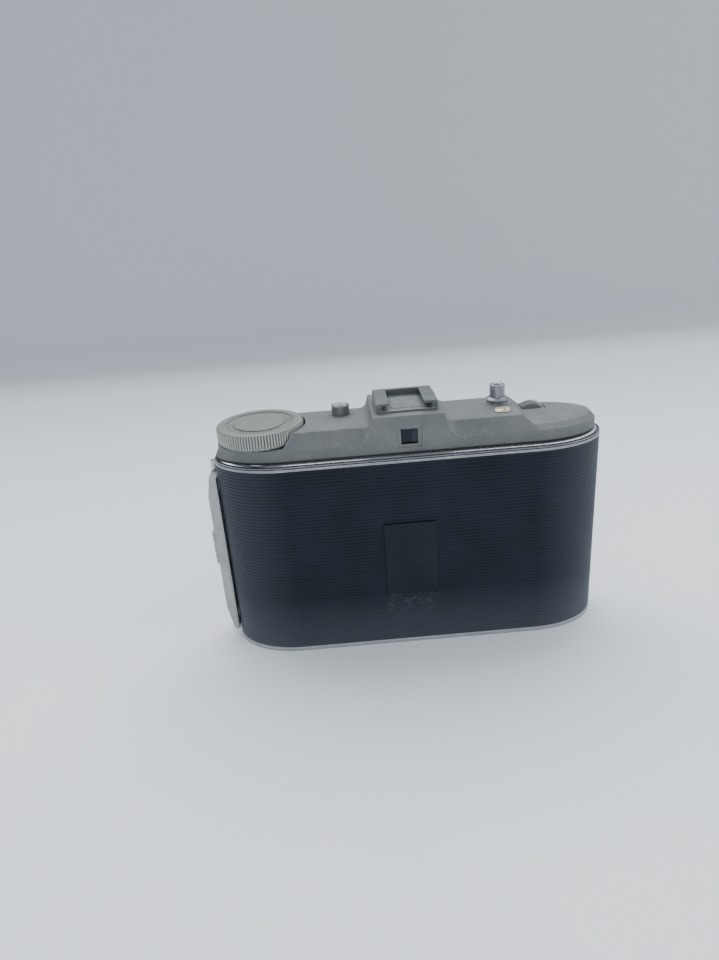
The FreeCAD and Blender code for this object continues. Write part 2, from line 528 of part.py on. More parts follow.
def housing_fittings():
    """Glass, frames, screws, collars and the accessory shoe on the top housing."""
    frame = cut("eye_frame_ring",
                box("eye_frame_blank", ("eye_mid - eye_half - 1.4", "eye_mid + eye_half + 1.4"),
                    ("roof_half_depth - 0.7", "roof_half_depth - 0.35"), ("eye_low - 1.0", "eye_high + 0.7")),
                box("eye_frame_hole", ("eye_mid - eye_half + 0.15", "eye_mid + eye_half - 0.15"), (5, 20),
                    ("eye_low + 0.15", "eye_high - 0.15")))
    node("eyepiece_frame", frame)
    node("eyepiece_glass", box("eye_glass", ("eye_mid - 4.6", "eye_mid + 4.6"), (12.6, 13.7),
                               ("eye_low - 1.2", "eye_high + 1.2")))
    node("front_windows", group("front_glass_pair",
                                box("finder_glass", ("eye_mid - 9", "eye_mid + 9"), (-13.7, -12.6),
                                    (82.6, 92.4)),
                                box("range_glass", ("-mirror_mid - 3.6", "-mirror_mid + 3.6"), (-10.6, -9.9),
                                    (81.2, 84.5))))
    splitter = box("splitter_plate", (-3.4, 3.4), (-0.4, 0.4), (0, 6))
    splitter.Placement = FreeCAD.Placement(V(0, 0, 0), FreeCAD.Rotation(V(0, 0, 1), 45))
    bind(splitter, **{"Placement.Base.x": "eye_mid - 2.1", "Placement.Base.y": "mirror_back - 2.7",
                      "Placement.Base.z": "trim_top"})
    node("beam_splitter", splitter)
    collar = [("release_radius + fit", "deck_high - 2.4"), (3.4, "deck_high - 2.4"), (3.4, "deck_high"),
              (5.3, "deck_high"), (5.3, "deck_high + 0.3"), (3.9, "deck_high + 0.3"),
              (3.9, "deck_high + 1.1"), (4.4, "deck_high + 1.3"), (4.4, "deck_high + 1.7"),
              (3.35, "deck_high + 2.5"),
              ("release_radius + fit", "deck_high + 2.5")]
    node("release_collar", turned("collar", collar, x="-release_mid", y="-release_fore"))
    head = turned("screw_head", [(0, "deck_high - 2"), (1.5, "deck_high - 2"), (1.5, "deck_high"),
                                 ("screw_radius", "deck_high"), ("screw_radius", "deck_high + 0.6"),
                                 ("screw_radius - 0.6", "deck_high + 1.1"), (0, "deck_high + 1.1")],
                  x="-screw_mid", y="screw_back")
    slots = [box("cross_slot", (f"-screw_mid - {along}", f"-screw_mid + {along}"),
                 (f"screw_back - {across}", f"screw_back + {across}"), ("deck_high + 0.4", "deck_high + 2"))
             for along, across in ((2.2, 0.35), (0.35, 2.2))]
    node("deck_screw", cut("deck_screw_slotted", head, *slots))
    node("wheel_axle", rod("wheel_pin", "axle_radius", "-wheel_mid",
                           ("-wheel_fore - wheel_width - 2", "-wheel_fore + 2"), "wheel_up", axis="Y"))
    shoe = cut("shoe_channel",
               box("shoe_blank", ("shoe_mid - shoe_half", "shoe_mid + shoe_half"),
                   ("-shoe_fore", "shoe_back"), ("hump_top", "shoe_top")),
               box("shoe_slot", ("shoe_mid - shoe_half + shoe_wall", "shoe_mid + shoe_half - shoe_wall"),
                   ("-shoe_fore + 1.4", 20), ("shoe_floor", "shoe_lip")),
               box("shoe_mouth", ("shoe_mid - shoe_gap", "shoe_mid + shoe_gap"),
                   ("-shoe_fore + 1.4", 20), ("shoe_floor", 110)))
    holes = [rod("shoe_hole", SHOE_SCREW, x, y, (90, 100)) for x, y in SHOE_SCREWS]
    node("accessory_shoe", cut("shoe", shoe, *holes))


def winding():
    """Knob, disc, shaft and take-up spool, which turn together."""
    knob = [(0, "knob_low"), ("knob_radius - 0.8", "knob_low"), ("knob_radius", "knob_low + 0.8"),
            ("knob_radius", "knob_top - 0.6"), ("knob_radius - 0.6", "knob_top"),
            ("recess_radius", "knob_top"), ("recess_radius", "knob_top - recess_drop"),
            (0, "knob_top - recess_drop")]
    node("winding_knob", turned("knob", knob, x="knob_mid"))
    disc = [(0, "knob_top - recess_drop"), ("disc_radius", "knob_top - recess_drop"),
            ("disc_radius", "knob_top - 0.1"), ("disc_radius - 0.3", "knob_top + 0.05"),
            (0, "knob_top + 0.05")]
    node("knob_disc", turned("disc", disc, x="knob_mid"))
    stem = rod("winding_stem", "shaft", "knob_mid", 0, ("film_high - 0.1", "knob_low"))
    blade = box("winding_blade", ("knob_mid - 3.5", "knob_mid + 3.5"), (-0.7, 0.7), (69, "film_high - 0.1"))
    node("winding_shaft", fuse("winding_key", stem, blade))
    spool = turned("spool", [(0, "spool_low"), ("spool_flange", "spool_low"),
                             ("spool_flange", "spool_low + 1.2"), ("spool_core", "spool_low + 1.2"),
                             ("spool_core", "spool_high - 1.2"), ("spool_flange", "spool_high - 1.2"),
                             ("spool_flange", "spool_high"), (0, "spool_high")], x="knob_mid")
    node("take_up_spool", cut("spool_slotted", spool,
                              box("key_slot", ("knob_mid - 3.9", "knob_mid + 3.9"), (-1, 1), (68.4, 75)),
                              rod("spool_eye", "pin_radius + 0.25", "knob_mid", 0, (5, 14)),
                              box("paper_slot", (40, 70), (-0.6, 0.6), (20, 61))))


def transport():
    """Spool pins, film rollers and the springs of the two buttons."""
    for name, side in (("spool_pin_take_up", ""), ("spool_pin_supply", "-")):
        node(name, turned(name + "_turned", [(0, 0.4), ("pin_disc", 0.4), ("pin_disc", 2.2),
                                             ("pin_radius", 2.2), ("pin_radius", 11.5),
                                             ("pin_radius - 0.8", 12.3), (0, 12.3)], x=side + "knob_mid"))
    for name, side in (("film_roller_a", ""), ("film_roller_b", "-")):
        node(name, turned(name + "_turned", [(0, 8.0), (1, 8.0), (1, 10), ("roller_radius", 10),
                                             ("roller_radius", 71), (1, 71), (1, 73), (0, 73)],
                          x=side + "roller_mid", y="roller_back"))


def buttons():
    """Door button with its catch, and the threaded shutter release with its rod."""
    node("door_button", turned("door_knob", [(0, "deck_high - 3.2"), ("button_radius", "deck_high - 3.2"),
                                             ("button_radius", "button_top - 0.35"),
                                             ("button_radius - 0.35", "button_top"), (2, "button_top - 0.25"),
                                             (0, "button_top - 0.35")], x="button_mid", y="-button_fore"))
    stem = rod("catch_stem", 1.4, "button_mid", "-button_fore", (75.8, "deck_high - 3.2"))
    arm = box("catch_arm", ("button_mid - 1.6", "button_mid + 1.6"), (-20, "-button_fore"), (75.8, 77))
    nose = box("catch_nose", ("button_mid - 1.6", "button_mid + 1.6"), (-20, -18.9), (74.6, 76.4))
    node("door_catch", fuse("catch", stem, arm, nose))
    plunger = turned("plunger", [(0, 87.6), ("release_radius", 87.6), ("release_radius", "release_top - 0.3"),
                                 ("release_radius - 0.3", "release_top"), ("cable_bore", "release_top"),
                                 ("cable_bore", "release_top - cable_depth"),
                                 (0, "release_top - cable_depth")],
                     x="-release_mid", y="-release_fore")
    inner_rod = rod("release_rod", 1.0, "-release_mid", "-release_fore", (77.2, 87.7))
    node("release_button", fuse("plunger_and_rod", plunger, inner_rod))
    node("release_spring", tube("release_coil", 1.5, 2.3, 80.8, 87.5, x="-release_mid", y="-release_fore"))
    node("door_button_spring", tube("button_coil", 2.1, 2.9, 80.8, 87.7, x="button_mid", y="-button_fore"))


def rangefinder():
    """The thumb wheel and the swinging mirror that it turns."""
    blank = rod("wheel_blank", "wheel_radius", "-wheel_mid", ("-wheel_fore - wheel_width", "-wheel_fore"),
                "wheel_up", axis="Y")
    bore = rod("wheel_bore", "axle_radius + fit", "-wheel_mid", (-20, 0), "wheel_up", axis="Y")
    node("rangefinder_wheel", cut("wheel", blank, bore))
    glass = box("mirror_plate", (-2.6, 2.6), (-0.4, 0.4), (0, 3.2))
    glass.Placement = FreeCAD.Placement(V(0, 0, 0), FreeCAD.Rotation(V(0, 0, 1), 45))
    bind(glass, **{"Placement.Base.x": "-mirror_mid - 1.8", "Placement.Base.y": "mirror_back - 1.5",
                   "Placement.Base.z": "trim_top + 0.5"})
    node("rangefinder_mirror", glass)
    post = rod("mirror_post", 1.6, "-mirror_mid", "mirror_back", ("trim_top", "trim_top + 0.5"))
    arm = box("mirror_lever", ("-mirror_mid", "-mirror_mid + 4.6"),
              ("mirror_back - 0.8", "mirror_back + 0.8"), ("trim_top", "trim_top + 0.5"))
    node("mirror_arm", fuse("mirror_carrier", post, arm))


def back():
    """Back cover with its leatherette, pressure plate, red window and window slide."""
    behind = box("behind", (-90, 90), ("back_edge", 60), (-5, 120))
    sheet_band = common("cover_sheet", ring("cover_band", "covering", "covering + cover_wall",
                                            "band_base + 0.15", "case_top - 0.1"), behind)
    rim = common("cover_rim", ring("rim_band", 0, "covering + cover_wall", "back_top", "case_top - 0.1"),
                 box("rim_side", (-90, 90), ("back_edge", 60), (-5, 120)))
    pieces = [sheet_band, rim]
    for low, high in ((14.1, 34.8), (45.2, 65.9)):
        pieces.append(rod("cover_knuckle", "hinge_radius", "-hinge_mid", "-hinge_fore", (low, high)))
        pieces.append(box("cover_leaf", ("-hinge_mid - 0.1", "-hinge_mid + 0.9"),
                          ("-hinge_fore", "back_edge + 0.4"), (low, high)))
    window = ("window_mid", (5, 30), "lens_height")
    node("back_cover", cut("cover", fuse("cover_whole", *pieces),
                           rod("cover_bore", "hinge_pin + fit", "-hinge_mid", "-hinge_fore", (0, 90)),
                           rod("cover_window", "window_radius", *window, axis="Y")))
    skin = common("leather_band", ring("leather_ring", 0, "covering", "band_base + 0.15", "back_top"),
                  box("leather_side", (-90, 90), ("back_edge", 60), (-5, 120)))
    opening = box("slide_opening", ("window_mid - slide_half + 0.4", "window_mid + slide_half - 0.4"),
                  (17, 19), ("slide_low + 0.8", "slide_high - 0.6"))
    node("back_covering", cut("leather", skin, opening))
    plate = box("slide_plate", ("window_mid - slide_half", "window_mid + slide_half"),
                ("body_depth / 2 + 0.05", "body_depth / 2 + 0.6"), ("slide_low", "slide_high"))
    runners = [box("slide_runner", (f"{spot} - 0.2", f"{spot} + 0.2"),
                   ("body_depth / 2 - 0.5", "body_depth / 2 + 0.1"), ("slide_high - 4", "slide_high - 1"))
               for spot in ("window_mid - runner_mid", "window_mid + runner_mid")]
    node("window_slide", fuse("slide", plate, *runners))
    node("red_window_glass", rod("red_glass", 4.2, "window_mid",
                                 ("body_depth / 2 - covering - cover_wall - 0.7",
                                  "body_depth / 2 - covering - cover_wall"), "lens_height", axis="Y"))
    node("pressure_plate", cut("plate", box("plate_blank", (-30.5, 30.5), (13.5, 14.3), (11, 70)),
                               rod("plate_window", 5, "window_mid", (10, 20), "lens_height", axis="Y")))
    leaf = [(-22, 14.3), (-20, 14.3), (-8, 15.8), (8, 15.8), (20, 14.3), (22, 14.3),
            (22, 14.6), (20.2, 14.6), (8.2, 16.1), (-8.2, 16.1), (-20.2, 14.6), (-22, 14.6)]
    springs = [prism("leaf_spring", leaf, 5, z=low) for low in (20, 56)]
    node("pressure_springs", group("leaf_spring_pair", *springs))


def latch():
    """The hinged latch bar on the end of the body and its thumb tab."""
    across = [("latch_inner", 4.4), ("latch_inner + 0.8", 4.4), ("latch_outer", 0.4), ("latch_outer", -4.4),
              ("latch_outer - 1.9", -7.5), ("latch_inner", -7.5)]
    bar = prism("latch_section", across, "latch_high - latch_low", z="latch_low")
    from_behind = [("latch_inner - 1", "latch_low"), ("latch_outer - 2.3", "latch_low"),
                   ("latch_outer", "latch_low + 9"), ("latch_outer", "latch_high - 9"),
                   ("latch_outer - 1.8", "latch_high"), ("latch_inner - 1", "latch_high")]
    shaped = common("latch_shaped", bar, prism("latch_profile", from_behind, 20, y=10, facing="front"))
    hollow = [("latch_inner - 1", 2.6), ("latch_inner + 1", 2.6), ("latch_outer - 1.6", -0.2),
              ("latch_outer - 1.6", -3.4), ("latch_inner - 1", -3.4)]
    channel = prism("latch_channel", hollow, 55, z=11)
    tab = box("thumb_tab", ("latch_outer - 0.5", "latch_outer + 1"), (-3.6, 0), ("tab_low", "tab_high"))
    grooves = [box("tab_groove", ("latch_outer + 0.5", 82), (-10, 10),
                   (f"tab_low + {1.6 + 2.5 * i}", f"tab_low + {2.4 + 2.5 * i}")) for i in range(5)]
    bores = [rod("latch_bore", "latch_pin + fit", "latch_mid", "-latch_fore", span)
             for span in ((0, 7.2), (69.3, 80))]
    node("latch_bar", cut("latch", fuse("latch_with_tab", shaped, tab), channel, *grooves, *bores))


def door():
    """The front door with its covering; it drops forward about its lower edge."""
    plate = rounded("door_rounded", box("door_sheet", ("-door_half", "door_half"),
                                        ("-door_inner - door_wall", "-door_inner"),
                                        ("door_low", "door_high")),
                    5, lambda b: b.YLength > 0.5 and b.XLength < 0.1 and b.ZMin > 70)
    notch = box("door_notch", ("-knuckle_split", "knuckle_split"), (-30, -10), (0, "door_axis_up + 1.6"))
    pieces = [cut("door_plate", plate, notch)]
    for side, step in (("", 1), ("-", -1)):
        span = (f"{side}knuckle_split", f"{side}knuckle_span")[::step]
        pieces.append(rod("door_knuckle", "knuckle", span, "-door_axis_fore", "door_axis_up", axis="X"))
    pieces.append(box("door_tongue", ("button_mid - 4", "button_mid + 4"), ("-door_inner - 0.2", -20.4),
                      (72.6, 74)))
    node("front_door", cut("door", fuse("door_whole", *pieces),
                           rod("door_running_bore", "0.6 + fit", (-50, 50), "-door_axis_fore",
                               "door_axis_up", axis="X")))
    node("door_covering", rounded("door_leather",
                                  box("door_leather_sheet", ("-door_half + 2", "door_half - 2"),
                                      ("-door_inner - door_wall - covering", "-door_inner - door_wall"),
                                      ("door_low + 2.6", "door_high - 2")),
                                  3.5, lambda b: b.YLength > 0.5 and b.XLength < 0.1 and b.ZMin > 60))


def strut(side):
    """One slotted side strut, hanging from its pivot and leaning back by its folded angle."""
    inner, outer = f"{side}strut_inner", f"{side}(strut_inner + 1)"
    pivot_end = f"{side}tunnel_half"
    xs = (inner, outer) if side == "" else (outer, inner)
    pin = (inner, pivot_end) if side == "" else (pivot_end, inner)
    blade = fuse("strut_blade", box("strut_bar", xs, (-2.5, 2.5), ("-strut_reach", 0)),
                 rod("strut_foot", 2.5, xs, 0, "-strut_reach", axis="X"),
                 rod("strut_head", 3, xs, 0, 0, axis="X"), rod("strut_pin", 1.4, pin, 0, 0, axis="X"))
    slot = fuse("strut_slot", box("slot_mid", (-40, 40), (-1.2, 1.2), ("-strut_reach", "-strut_reach + 11")),
                rod("slot_foot", 1.2, (-40, 40), 0, "-strut_reach", axis="X"))
    arm = cut("strut_arm", blade, slot)
    arm.Placement = FreeCAD.Placement(V(0, 0, 0), FreeCAD.Rotation(V(1, 0, 0), SIZES["strut_lean"][0]))
    bind(arm, **{"Placement.Base.y": "-strut_fore", "Placement.Base.z": "strut_up",
                 "Placement.Rotation.Angle": "strut_lean"})
    return arm


def lens_unit():
    """Standard, shutter, lens cells and rings, folded into the body behind the door."""
    node("side_struts", group("strut_pair", strut(""), strut("-")))
    standard = box("standard_sheet", ("-standard_half", "standard_half"),
                   ("lens_rear - 5", "lens_rear - 3.8"), (17, 64))
    pins = [rod("standard_pin", 1, ("standard_half", "standard_half + 0.9") if side == "" else
                ("-standard_half - 0.9", "-standard_half"), "lens_rear - 4.4", "ear_up", axis="X")
            for side in ("", "-")]
    ears = [box("standard_ear", (f"{side}(standard_half - 1.2)", f"{side}standard_half")[::step],
                ("lens_rear - 7", "lens_rear - 3.8"), (21, 31)) for side, step in (("", 1), ("-", -1))]
    node("standard_plate", cut("standard", fuse("standard_whole", standard, *pins, *ears),
                               rod("standard_hole", 12.2, 0, (0, 10), "lens_height", axis="Y")))
    outer = wedge("bellows_outer", (-27.5, 27.5, 27.5), (-24, 24, 24), 0, 7.2)
    inner = wedge("bellows_inner", (-24.5, 24.5, 24.5), (-20, 20, 20), -0.5, 7.8)
    block = cut("bellows_block", outer, inner)
    block.Placement = FreeCAD.Placement(V(0, 11.6, 0), FreeCAD.Rotation(V(1, 0, 0), 90))
    bind(block, **{"Placement.Base.z": "lens_height"})
    node("bellows", block)
    cup = [(11, 5), ("shutter_radius", 5), ("shutter_radius", 16), ("shutter_radius - 1.6", 16),
           ("shutter_radius - 1.6", 6.5), (11, 6.5)]
    node("shutter_housing", on_lens("shutter_cup", cup))
    face = [(13.5, 16), ("shutter_radius", 16), ("shutter_radius", 17), (15.5, 17), (15.5, 18.2),
            (13.5, 18.2)]
    node("shutter_cover", on_lens("shutter_face", face))
    cell = [(8.6, 2.2), (11.8, 2.2), (11.8, 3.6), (10.9, 3.6), (10.9, 7.5), (8.6, 7.5)]
    node("rear_lens_cell", on_lens("rear_cell", cell))
    node("rear_lens_glass", on_lens("rear_glass", [(0, 2.8), (8.6, 3.8), (8.6, 5.6), (0, 6.8)]))
    leaves = []
    for turn in range(5):
        leaf = rod("shutter_leaf", 8, 0, (-0.2, 0), 0, axis="Y")
        spread = FreeCAD.Rotation(V(0, 1, 0), 72 * turn)
        leaf.Placement = FreeCAD.Placement(spread.multVec(V(6, 0, 0)), FACING["back"])
        bind(leaf, **{"Placement.Base.y": f"lens_rear - 9 - {0.35 * turn}",
                      "Placement.Base.z": f"lens_height + {leaf.Placement.Base.z}"})
        leaves.append(leaf)
    node("shutter_blades", group("leaf_set", *leaves))
    node("speed_ring", lens_ring("speed_dial", "15.5 + fit", "shutter_radius + 0.6", 17.1, 18.2))
    node("focus_ring", on_lens("focus_dial", [("glass_radius + 0.2", 16.6), (13.45, 16.6), (13.45, 18.35),
                                              ("focus_radius", 18.35), ("focus_radius", 23.6), (13.6, 24.4),
                                              ("glass_radius + 1.4", 24.4), ("glass_radius + 0.2", 23.4)]))
    node("front_lens_glass", on_lens("front_glass", [(0, 19.4), ("glass_radius + 0.2", 20.2),
                                                     ("glass_radius + 0.2", 22.0), (0, 23.6)]))


def shutter_controls():
    """Aperture ring, cocking lever and release lever, which turn about the lens axis."""
    def lever(name, low, high, reach, half, lean):
        band = lens_ring(name + "_band", "shutter_radius + fit", "shutter_radius + 1", low, high)
        finger = box(name + "_finger", (f"-{half}", half),
                     (f"lens_rear - {high}", f"lens_rear - {low}"),
                     ("lens_height + shutter_radius + 0.5", f"lens_height + {reach}"))
        lifted = FreeCAD.Rotation(V(0, 1, 0), lean)
        centre = V(0, 0, SIZES["lens_height"][0])
        finger_turned = doc.addObject("Part::Compound", name + "_finger_turned")
        finger_turned.Links = [finger]
        finger_turned.Placement = FreeCAD.Placement(centre - lifted.multVec(centre), lifted)
        node(name, fuse(name + "_whole", band, finger_turned))

    lever("aperture_ring", 6.2, 7.8, 25, 1.5, 60)
    lever("release_lever", 9.2, 10.6, 25.5, 1.2, -48)
    lever("cocking_lever", 12.6, 14.2, 26.5, 1.6, -20)


def write_nodes():
    doc.recompute()
    for piece in doc.Objects:
        if {"Invalid", "Error"} & set(piece.State):
            raise RuntimeError(f"{piece.Name} ({piece.Label}) is {piece.State}")
    os.makedirs("parts", exist_ok=True)
    for name, piece in nodes.items():
        shape = piece.Shape
        if shape.isNull() or not shape.isValid() or not shape.Solids:
            raise RuntimeError(f"{name} has no valid solid")
        shape.exportStep(f"parts/{name}.step")
        print(f"{name:22s} {len(shape.Solids):2d} solids {shape.Volume:10.1f} mm3")
    print(len(nodes), "nodes")


body_casting()
body_fittings()
top_housing()
housing_fittings()
winding()
transport()
buttons()
rangefinder()
back()
latch()
door()
lens_unit()
shutter_controls()
write_nodes()
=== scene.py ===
"""A closed folding rangefinder camera on a pale table, seen from behind and above.

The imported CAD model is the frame, and everything is in its axes: +Z up, back towards +Y, knob on +X.
Lengths below are in millimetres and become metres when a mesh is made.
"""
import json
from math import asin, cos, degrees, exp, pi, radians, sin, sqrt

import bmesh
import bpy
from mathutils import Matrix, Vector, noise


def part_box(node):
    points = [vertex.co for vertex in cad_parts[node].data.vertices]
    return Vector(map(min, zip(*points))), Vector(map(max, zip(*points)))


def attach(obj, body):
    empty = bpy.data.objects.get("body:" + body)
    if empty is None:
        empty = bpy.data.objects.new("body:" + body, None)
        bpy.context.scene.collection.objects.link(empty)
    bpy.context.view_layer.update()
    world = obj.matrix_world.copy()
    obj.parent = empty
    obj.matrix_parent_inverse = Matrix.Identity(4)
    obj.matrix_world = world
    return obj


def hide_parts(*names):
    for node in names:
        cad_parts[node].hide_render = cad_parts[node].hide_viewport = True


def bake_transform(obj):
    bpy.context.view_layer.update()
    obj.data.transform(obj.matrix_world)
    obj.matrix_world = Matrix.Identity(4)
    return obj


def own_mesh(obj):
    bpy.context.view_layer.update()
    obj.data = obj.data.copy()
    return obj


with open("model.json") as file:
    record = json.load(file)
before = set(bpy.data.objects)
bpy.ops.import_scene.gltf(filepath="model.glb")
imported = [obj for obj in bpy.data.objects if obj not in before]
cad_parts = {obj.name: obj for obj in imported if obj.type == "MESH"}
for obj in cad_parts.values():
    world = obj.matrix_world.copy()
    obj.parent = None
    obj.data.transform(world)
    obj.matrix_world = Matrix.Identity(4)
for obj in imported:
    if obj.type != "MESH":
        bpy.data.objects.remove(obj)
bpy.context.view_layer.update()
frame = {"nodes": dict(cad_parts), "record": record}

MM = 0.001
TAU = 2 * pi

# the body seen from above: straight sides and half-elliptical ends
END_ROUND = 27.2
COVERING = 0.6          # thickness of the leatherette
RIB_PITCH = 1.365       # height of one rib of the leatherette
RIB_DEPTH = 0.19
RIB_STEPS = (0.0, 0.07, 0.18, 0.34, 0.66, 0.82, 0.93)
BEAD_WIDTH = 2.3        # of the rounded part of the bead under the housing
SLIDE_PLAY = 0.4        # from the window slide's edge to the edge of the opening under it
KNOB_TEETH = 94
WHEEL_TEETH = 38
FOCUS_TEETH = 72
LENS_REAR = 8.0         # lens heights run forward from this Y
LENS_UP = 40.5
FOCUS_FACE = 24.4       # lens height of the focusing ring's face


class Span:
    """A CAD node's box, in millimetres."""

    def __init__(self, node):
        low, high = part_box(node)
        self.low = low / MM
        self.high = high / MM
        self.mid = (self.low + self.high) / 2
        self.size = self.high - self.low


CASE = Span("base_trim")
HALF_LENGTH = CASE.high.x
HALF_DEPTH = CASE.high.y
STRAIGHT = HALF_LENGTH - END_ROUND


# ---- materials

class Paint:
    """A material, or a world, whose node tree grows from its shader."""

    def __init__(self, name, world=None, shader="BSDF_PRINCIPLED", **sockets):
        self.material = world or bpy.data.materials.new(name)
        self.material.use_nodes = True
        self.tree = self.material.node_tree
        self.shader = next(n for n in self.tree.nodes if n.type == shader)
        for socket, value in sockets.items():
            self.shader.inputs[socket.replace("_", " ")].default_value = value
        self.where = self.node("ShaderNodeTexCoord").outputs["Object"]

    def node(self, kind, settings=None, **inputs):
        made = self.tree.nodes.new(kind)
        for setting, value in (settings or {}).items():
            setattr(made, setting, value)
        for socket, value in inputs.items():
            self.feed(made.inputs[socket.replace("_", " ")], value)
        return made

    def feed(self, socket, value):
        if isinstance(value, bpy.types.NodeSocket):
            self.tree.links.new(value, socket)
        else:
            socket.default_value = value

    def grain(self, feature, detail=3.0, rough=0.55, stretch=(1, 1, 1)):
        """Noise from 0 to 1, with its features' size in millimetres, drawn out along axes by the stretch."""
        scale = [1 / (feature * MM * along) for along in stretch]
        spread = self.node("ShaderNodeMapping", Vector=self.where, Scale=scale)
        made = self.node("ShaderNodeTexNoise", Vector=spread.outputs[0], Scale=1.0, Detail=detail,
                         Roughness=rough)
        return made.outputs["Fac"]

    def range(self, value, low, high, to_low=0.0, to_high=1.0):
        """A value carried from one range to another, and held at its ends."""
        made = self.node("ShaderNodeMapRange", Value=value, From_Min=low, From_Max=high, To_Min=to_low,
                         To_Max=to_high)
        return made.outputs["Result"]

    def math(self, operation, first, second=0.5):
        made = self.tree.nodes.new("ShaderNodeMath")
        made.operation = operation
        self.feed(made.inputs[0], first)
        self.feed(made.inputs[1], second)
        return made.outputs[0]

    def mix(self, share, first, second):
        made = self.node("ShaderNodeMix", {"data_type": "RGBA"})
        self.feed(made.inputs[0], share)
        for socket, value in ((made.inputs[6], first), (made.inputs[7], second)):
            self.feed(socket, value if isinstance(value, bpy.types.NodeSocket) else (*value, 1.0))
        return made.outputs[2]

    def mottle(self, cloud, light, dark):
        """Two colours shared out by a noise."""
        return self.mix(self.range(cloud, 0.3, 0.7), light, dark)

    def times(self, first, *others):
        for other in others:
            first = self.math("MULTIPLY", first, other)
        return first

    def vector(self, operation, *values):
        made = self.node("ShaderNodeVectorMath", {"operation": operation})
        for socket, value in zip(made.inputs, values):
            self.feed(socket, value)
        return made.outputs["Value" if operation in ("LENGTH", "DOT_PRODUCT") else "Vector"]

    def axis(self, name):
        return self.node("ShaderNodeSeparateXYZ", Vector=self.where).outputs[name]

    def along(self, name, low, high, *reach):
        """0 to 1, or over another reach, between two places in millimetres on an axis."""
        return self.range(self.axis(name), low * MM, high * MM, *reach)

    def edges(self, width):
        """1 on edges of the mesh, within a width in millimetres, and 0 on its faces."""
        soft = self.node("ShaderNodeBevel", {"samples": 4}, Radius=width * MM).outputs[0]
        true = self.node("ShaderNodeNewGeometry").outputs["True Normal"]
        return self.range(self.vector("DOT_PRODUCT", soft, true), 0.995, 0.86)

    def rubbed(self, colour, worn, width, feature, *reach):
        """The colour, with a paler one on the mesh's edges where a noise lets it through."""
        broken = self.range(self.grain(feature), *(reach or (0.35, 0.6)))
        return self.mix(self.times(self.edges(width), broken), colour, worn)

    def bump(self, height, depth, below=None):
        made = self.node("ShaderNodeBump", Strength=1.0, Distance=depth * MM, Height=height)
        if below is not None:
            self.feed(made.inputs["Normal"], below)
        return made.outputs[0]

    def done(self, colour, roughness, normal=None):
        self.feed(self.shader.inputs["Base Color"], colour)
        self.feed(self.shader.inputs["Roughness"], roughness)
        if normal is not None:
            self.feed(self.shader.inputs["Normal"], normal)
        return self.material


def metal(name, light, dark, roughness, grain=0.5, depth=0.01, brushed=(1, 1, 1), metallic=1.0, worn=None):
    """A metal with blotches, fine grain or brushing, uneven polish and paler edges where it is worn."""
    paint = Paint(name, Metallic=metallic)
    blotch = paint.grain(9, detail=4)
    speck = paint.grain(grain, detail=5, rough=0.7, stretch=brushed)
    colour = paint.mottle(blotch, light, dark)
    darker = tuple(0.72 * c for c in dark)
    colour = paint.mix(paint.range(speck, 0.52, 0.75, 0.0, 0.7), colour, darker)
    if worn:
        colour = paint.rubbed(colour, worn, 0.25, 2.5)
    polish = paint.range(paint.math("ADD", blotch, speck), 0.7, 1.3, roughness - 0.07, roughness + 0.09)
    return paint.done(colour, polish, paint.bump(speck, depth))


def cast_housing():
    """Die-cast alloy: grey, pitted, smudged, paler on its edges from wear and as a painted highlight, with a
    painted shadow along its foot.
    """
    foot = Span("top_housing").low.z
    paint = Paint("cast_housing", Metallic=0.1, Specular_IOR_Level=0.25)
    cloud = paint.grain(14, detail=5, rough=0.6)
    pit = paint.grain(0.7, detail=4, rough=0.75)
    fleck = paint.grain(1.9, detail=3)
    colour = paint.mottle(cloud, (0.168, 0.175, 0.174), (0.128, 0.136, 0.138))
    colour = paint.mix(paint.range(pit, 0.55, 0.8, 0.0, 0.75), colour, (0.092, 0.099, 0.103))
    colour = paint.mix(paint.range(fleck, 0.60, 0.78, 0.0, 0.45), colour, (0.28, 0.29, 0.29))
    # Paler edges: partly wear, partly a painted highlight on edges the mesh leaves sharp.
    colour = paint.rubbed(colour, (0.34, 0.35, 0.35), 0.45, 2.2, 0.38, 0.62, 0.1, 0.9)
    # Painted shadow: a near-black band along the housing's foot, where the gap above the bead lies in shade.
    painted_shade = paint.along("Z", foot + 0.9, foot + 0.5, 0.0, 0.9)
    colour = paint.mix(painted_shade, colour, (0.012, 0.013, 0.015))
    polish = paint.range(cloud, 0.3, 0.7, 0.55, 0.68)
    low = paint.bump(cloud, 0.05)
    return paint.done(colour, polish, paint.bump(pit, 0.035, low))


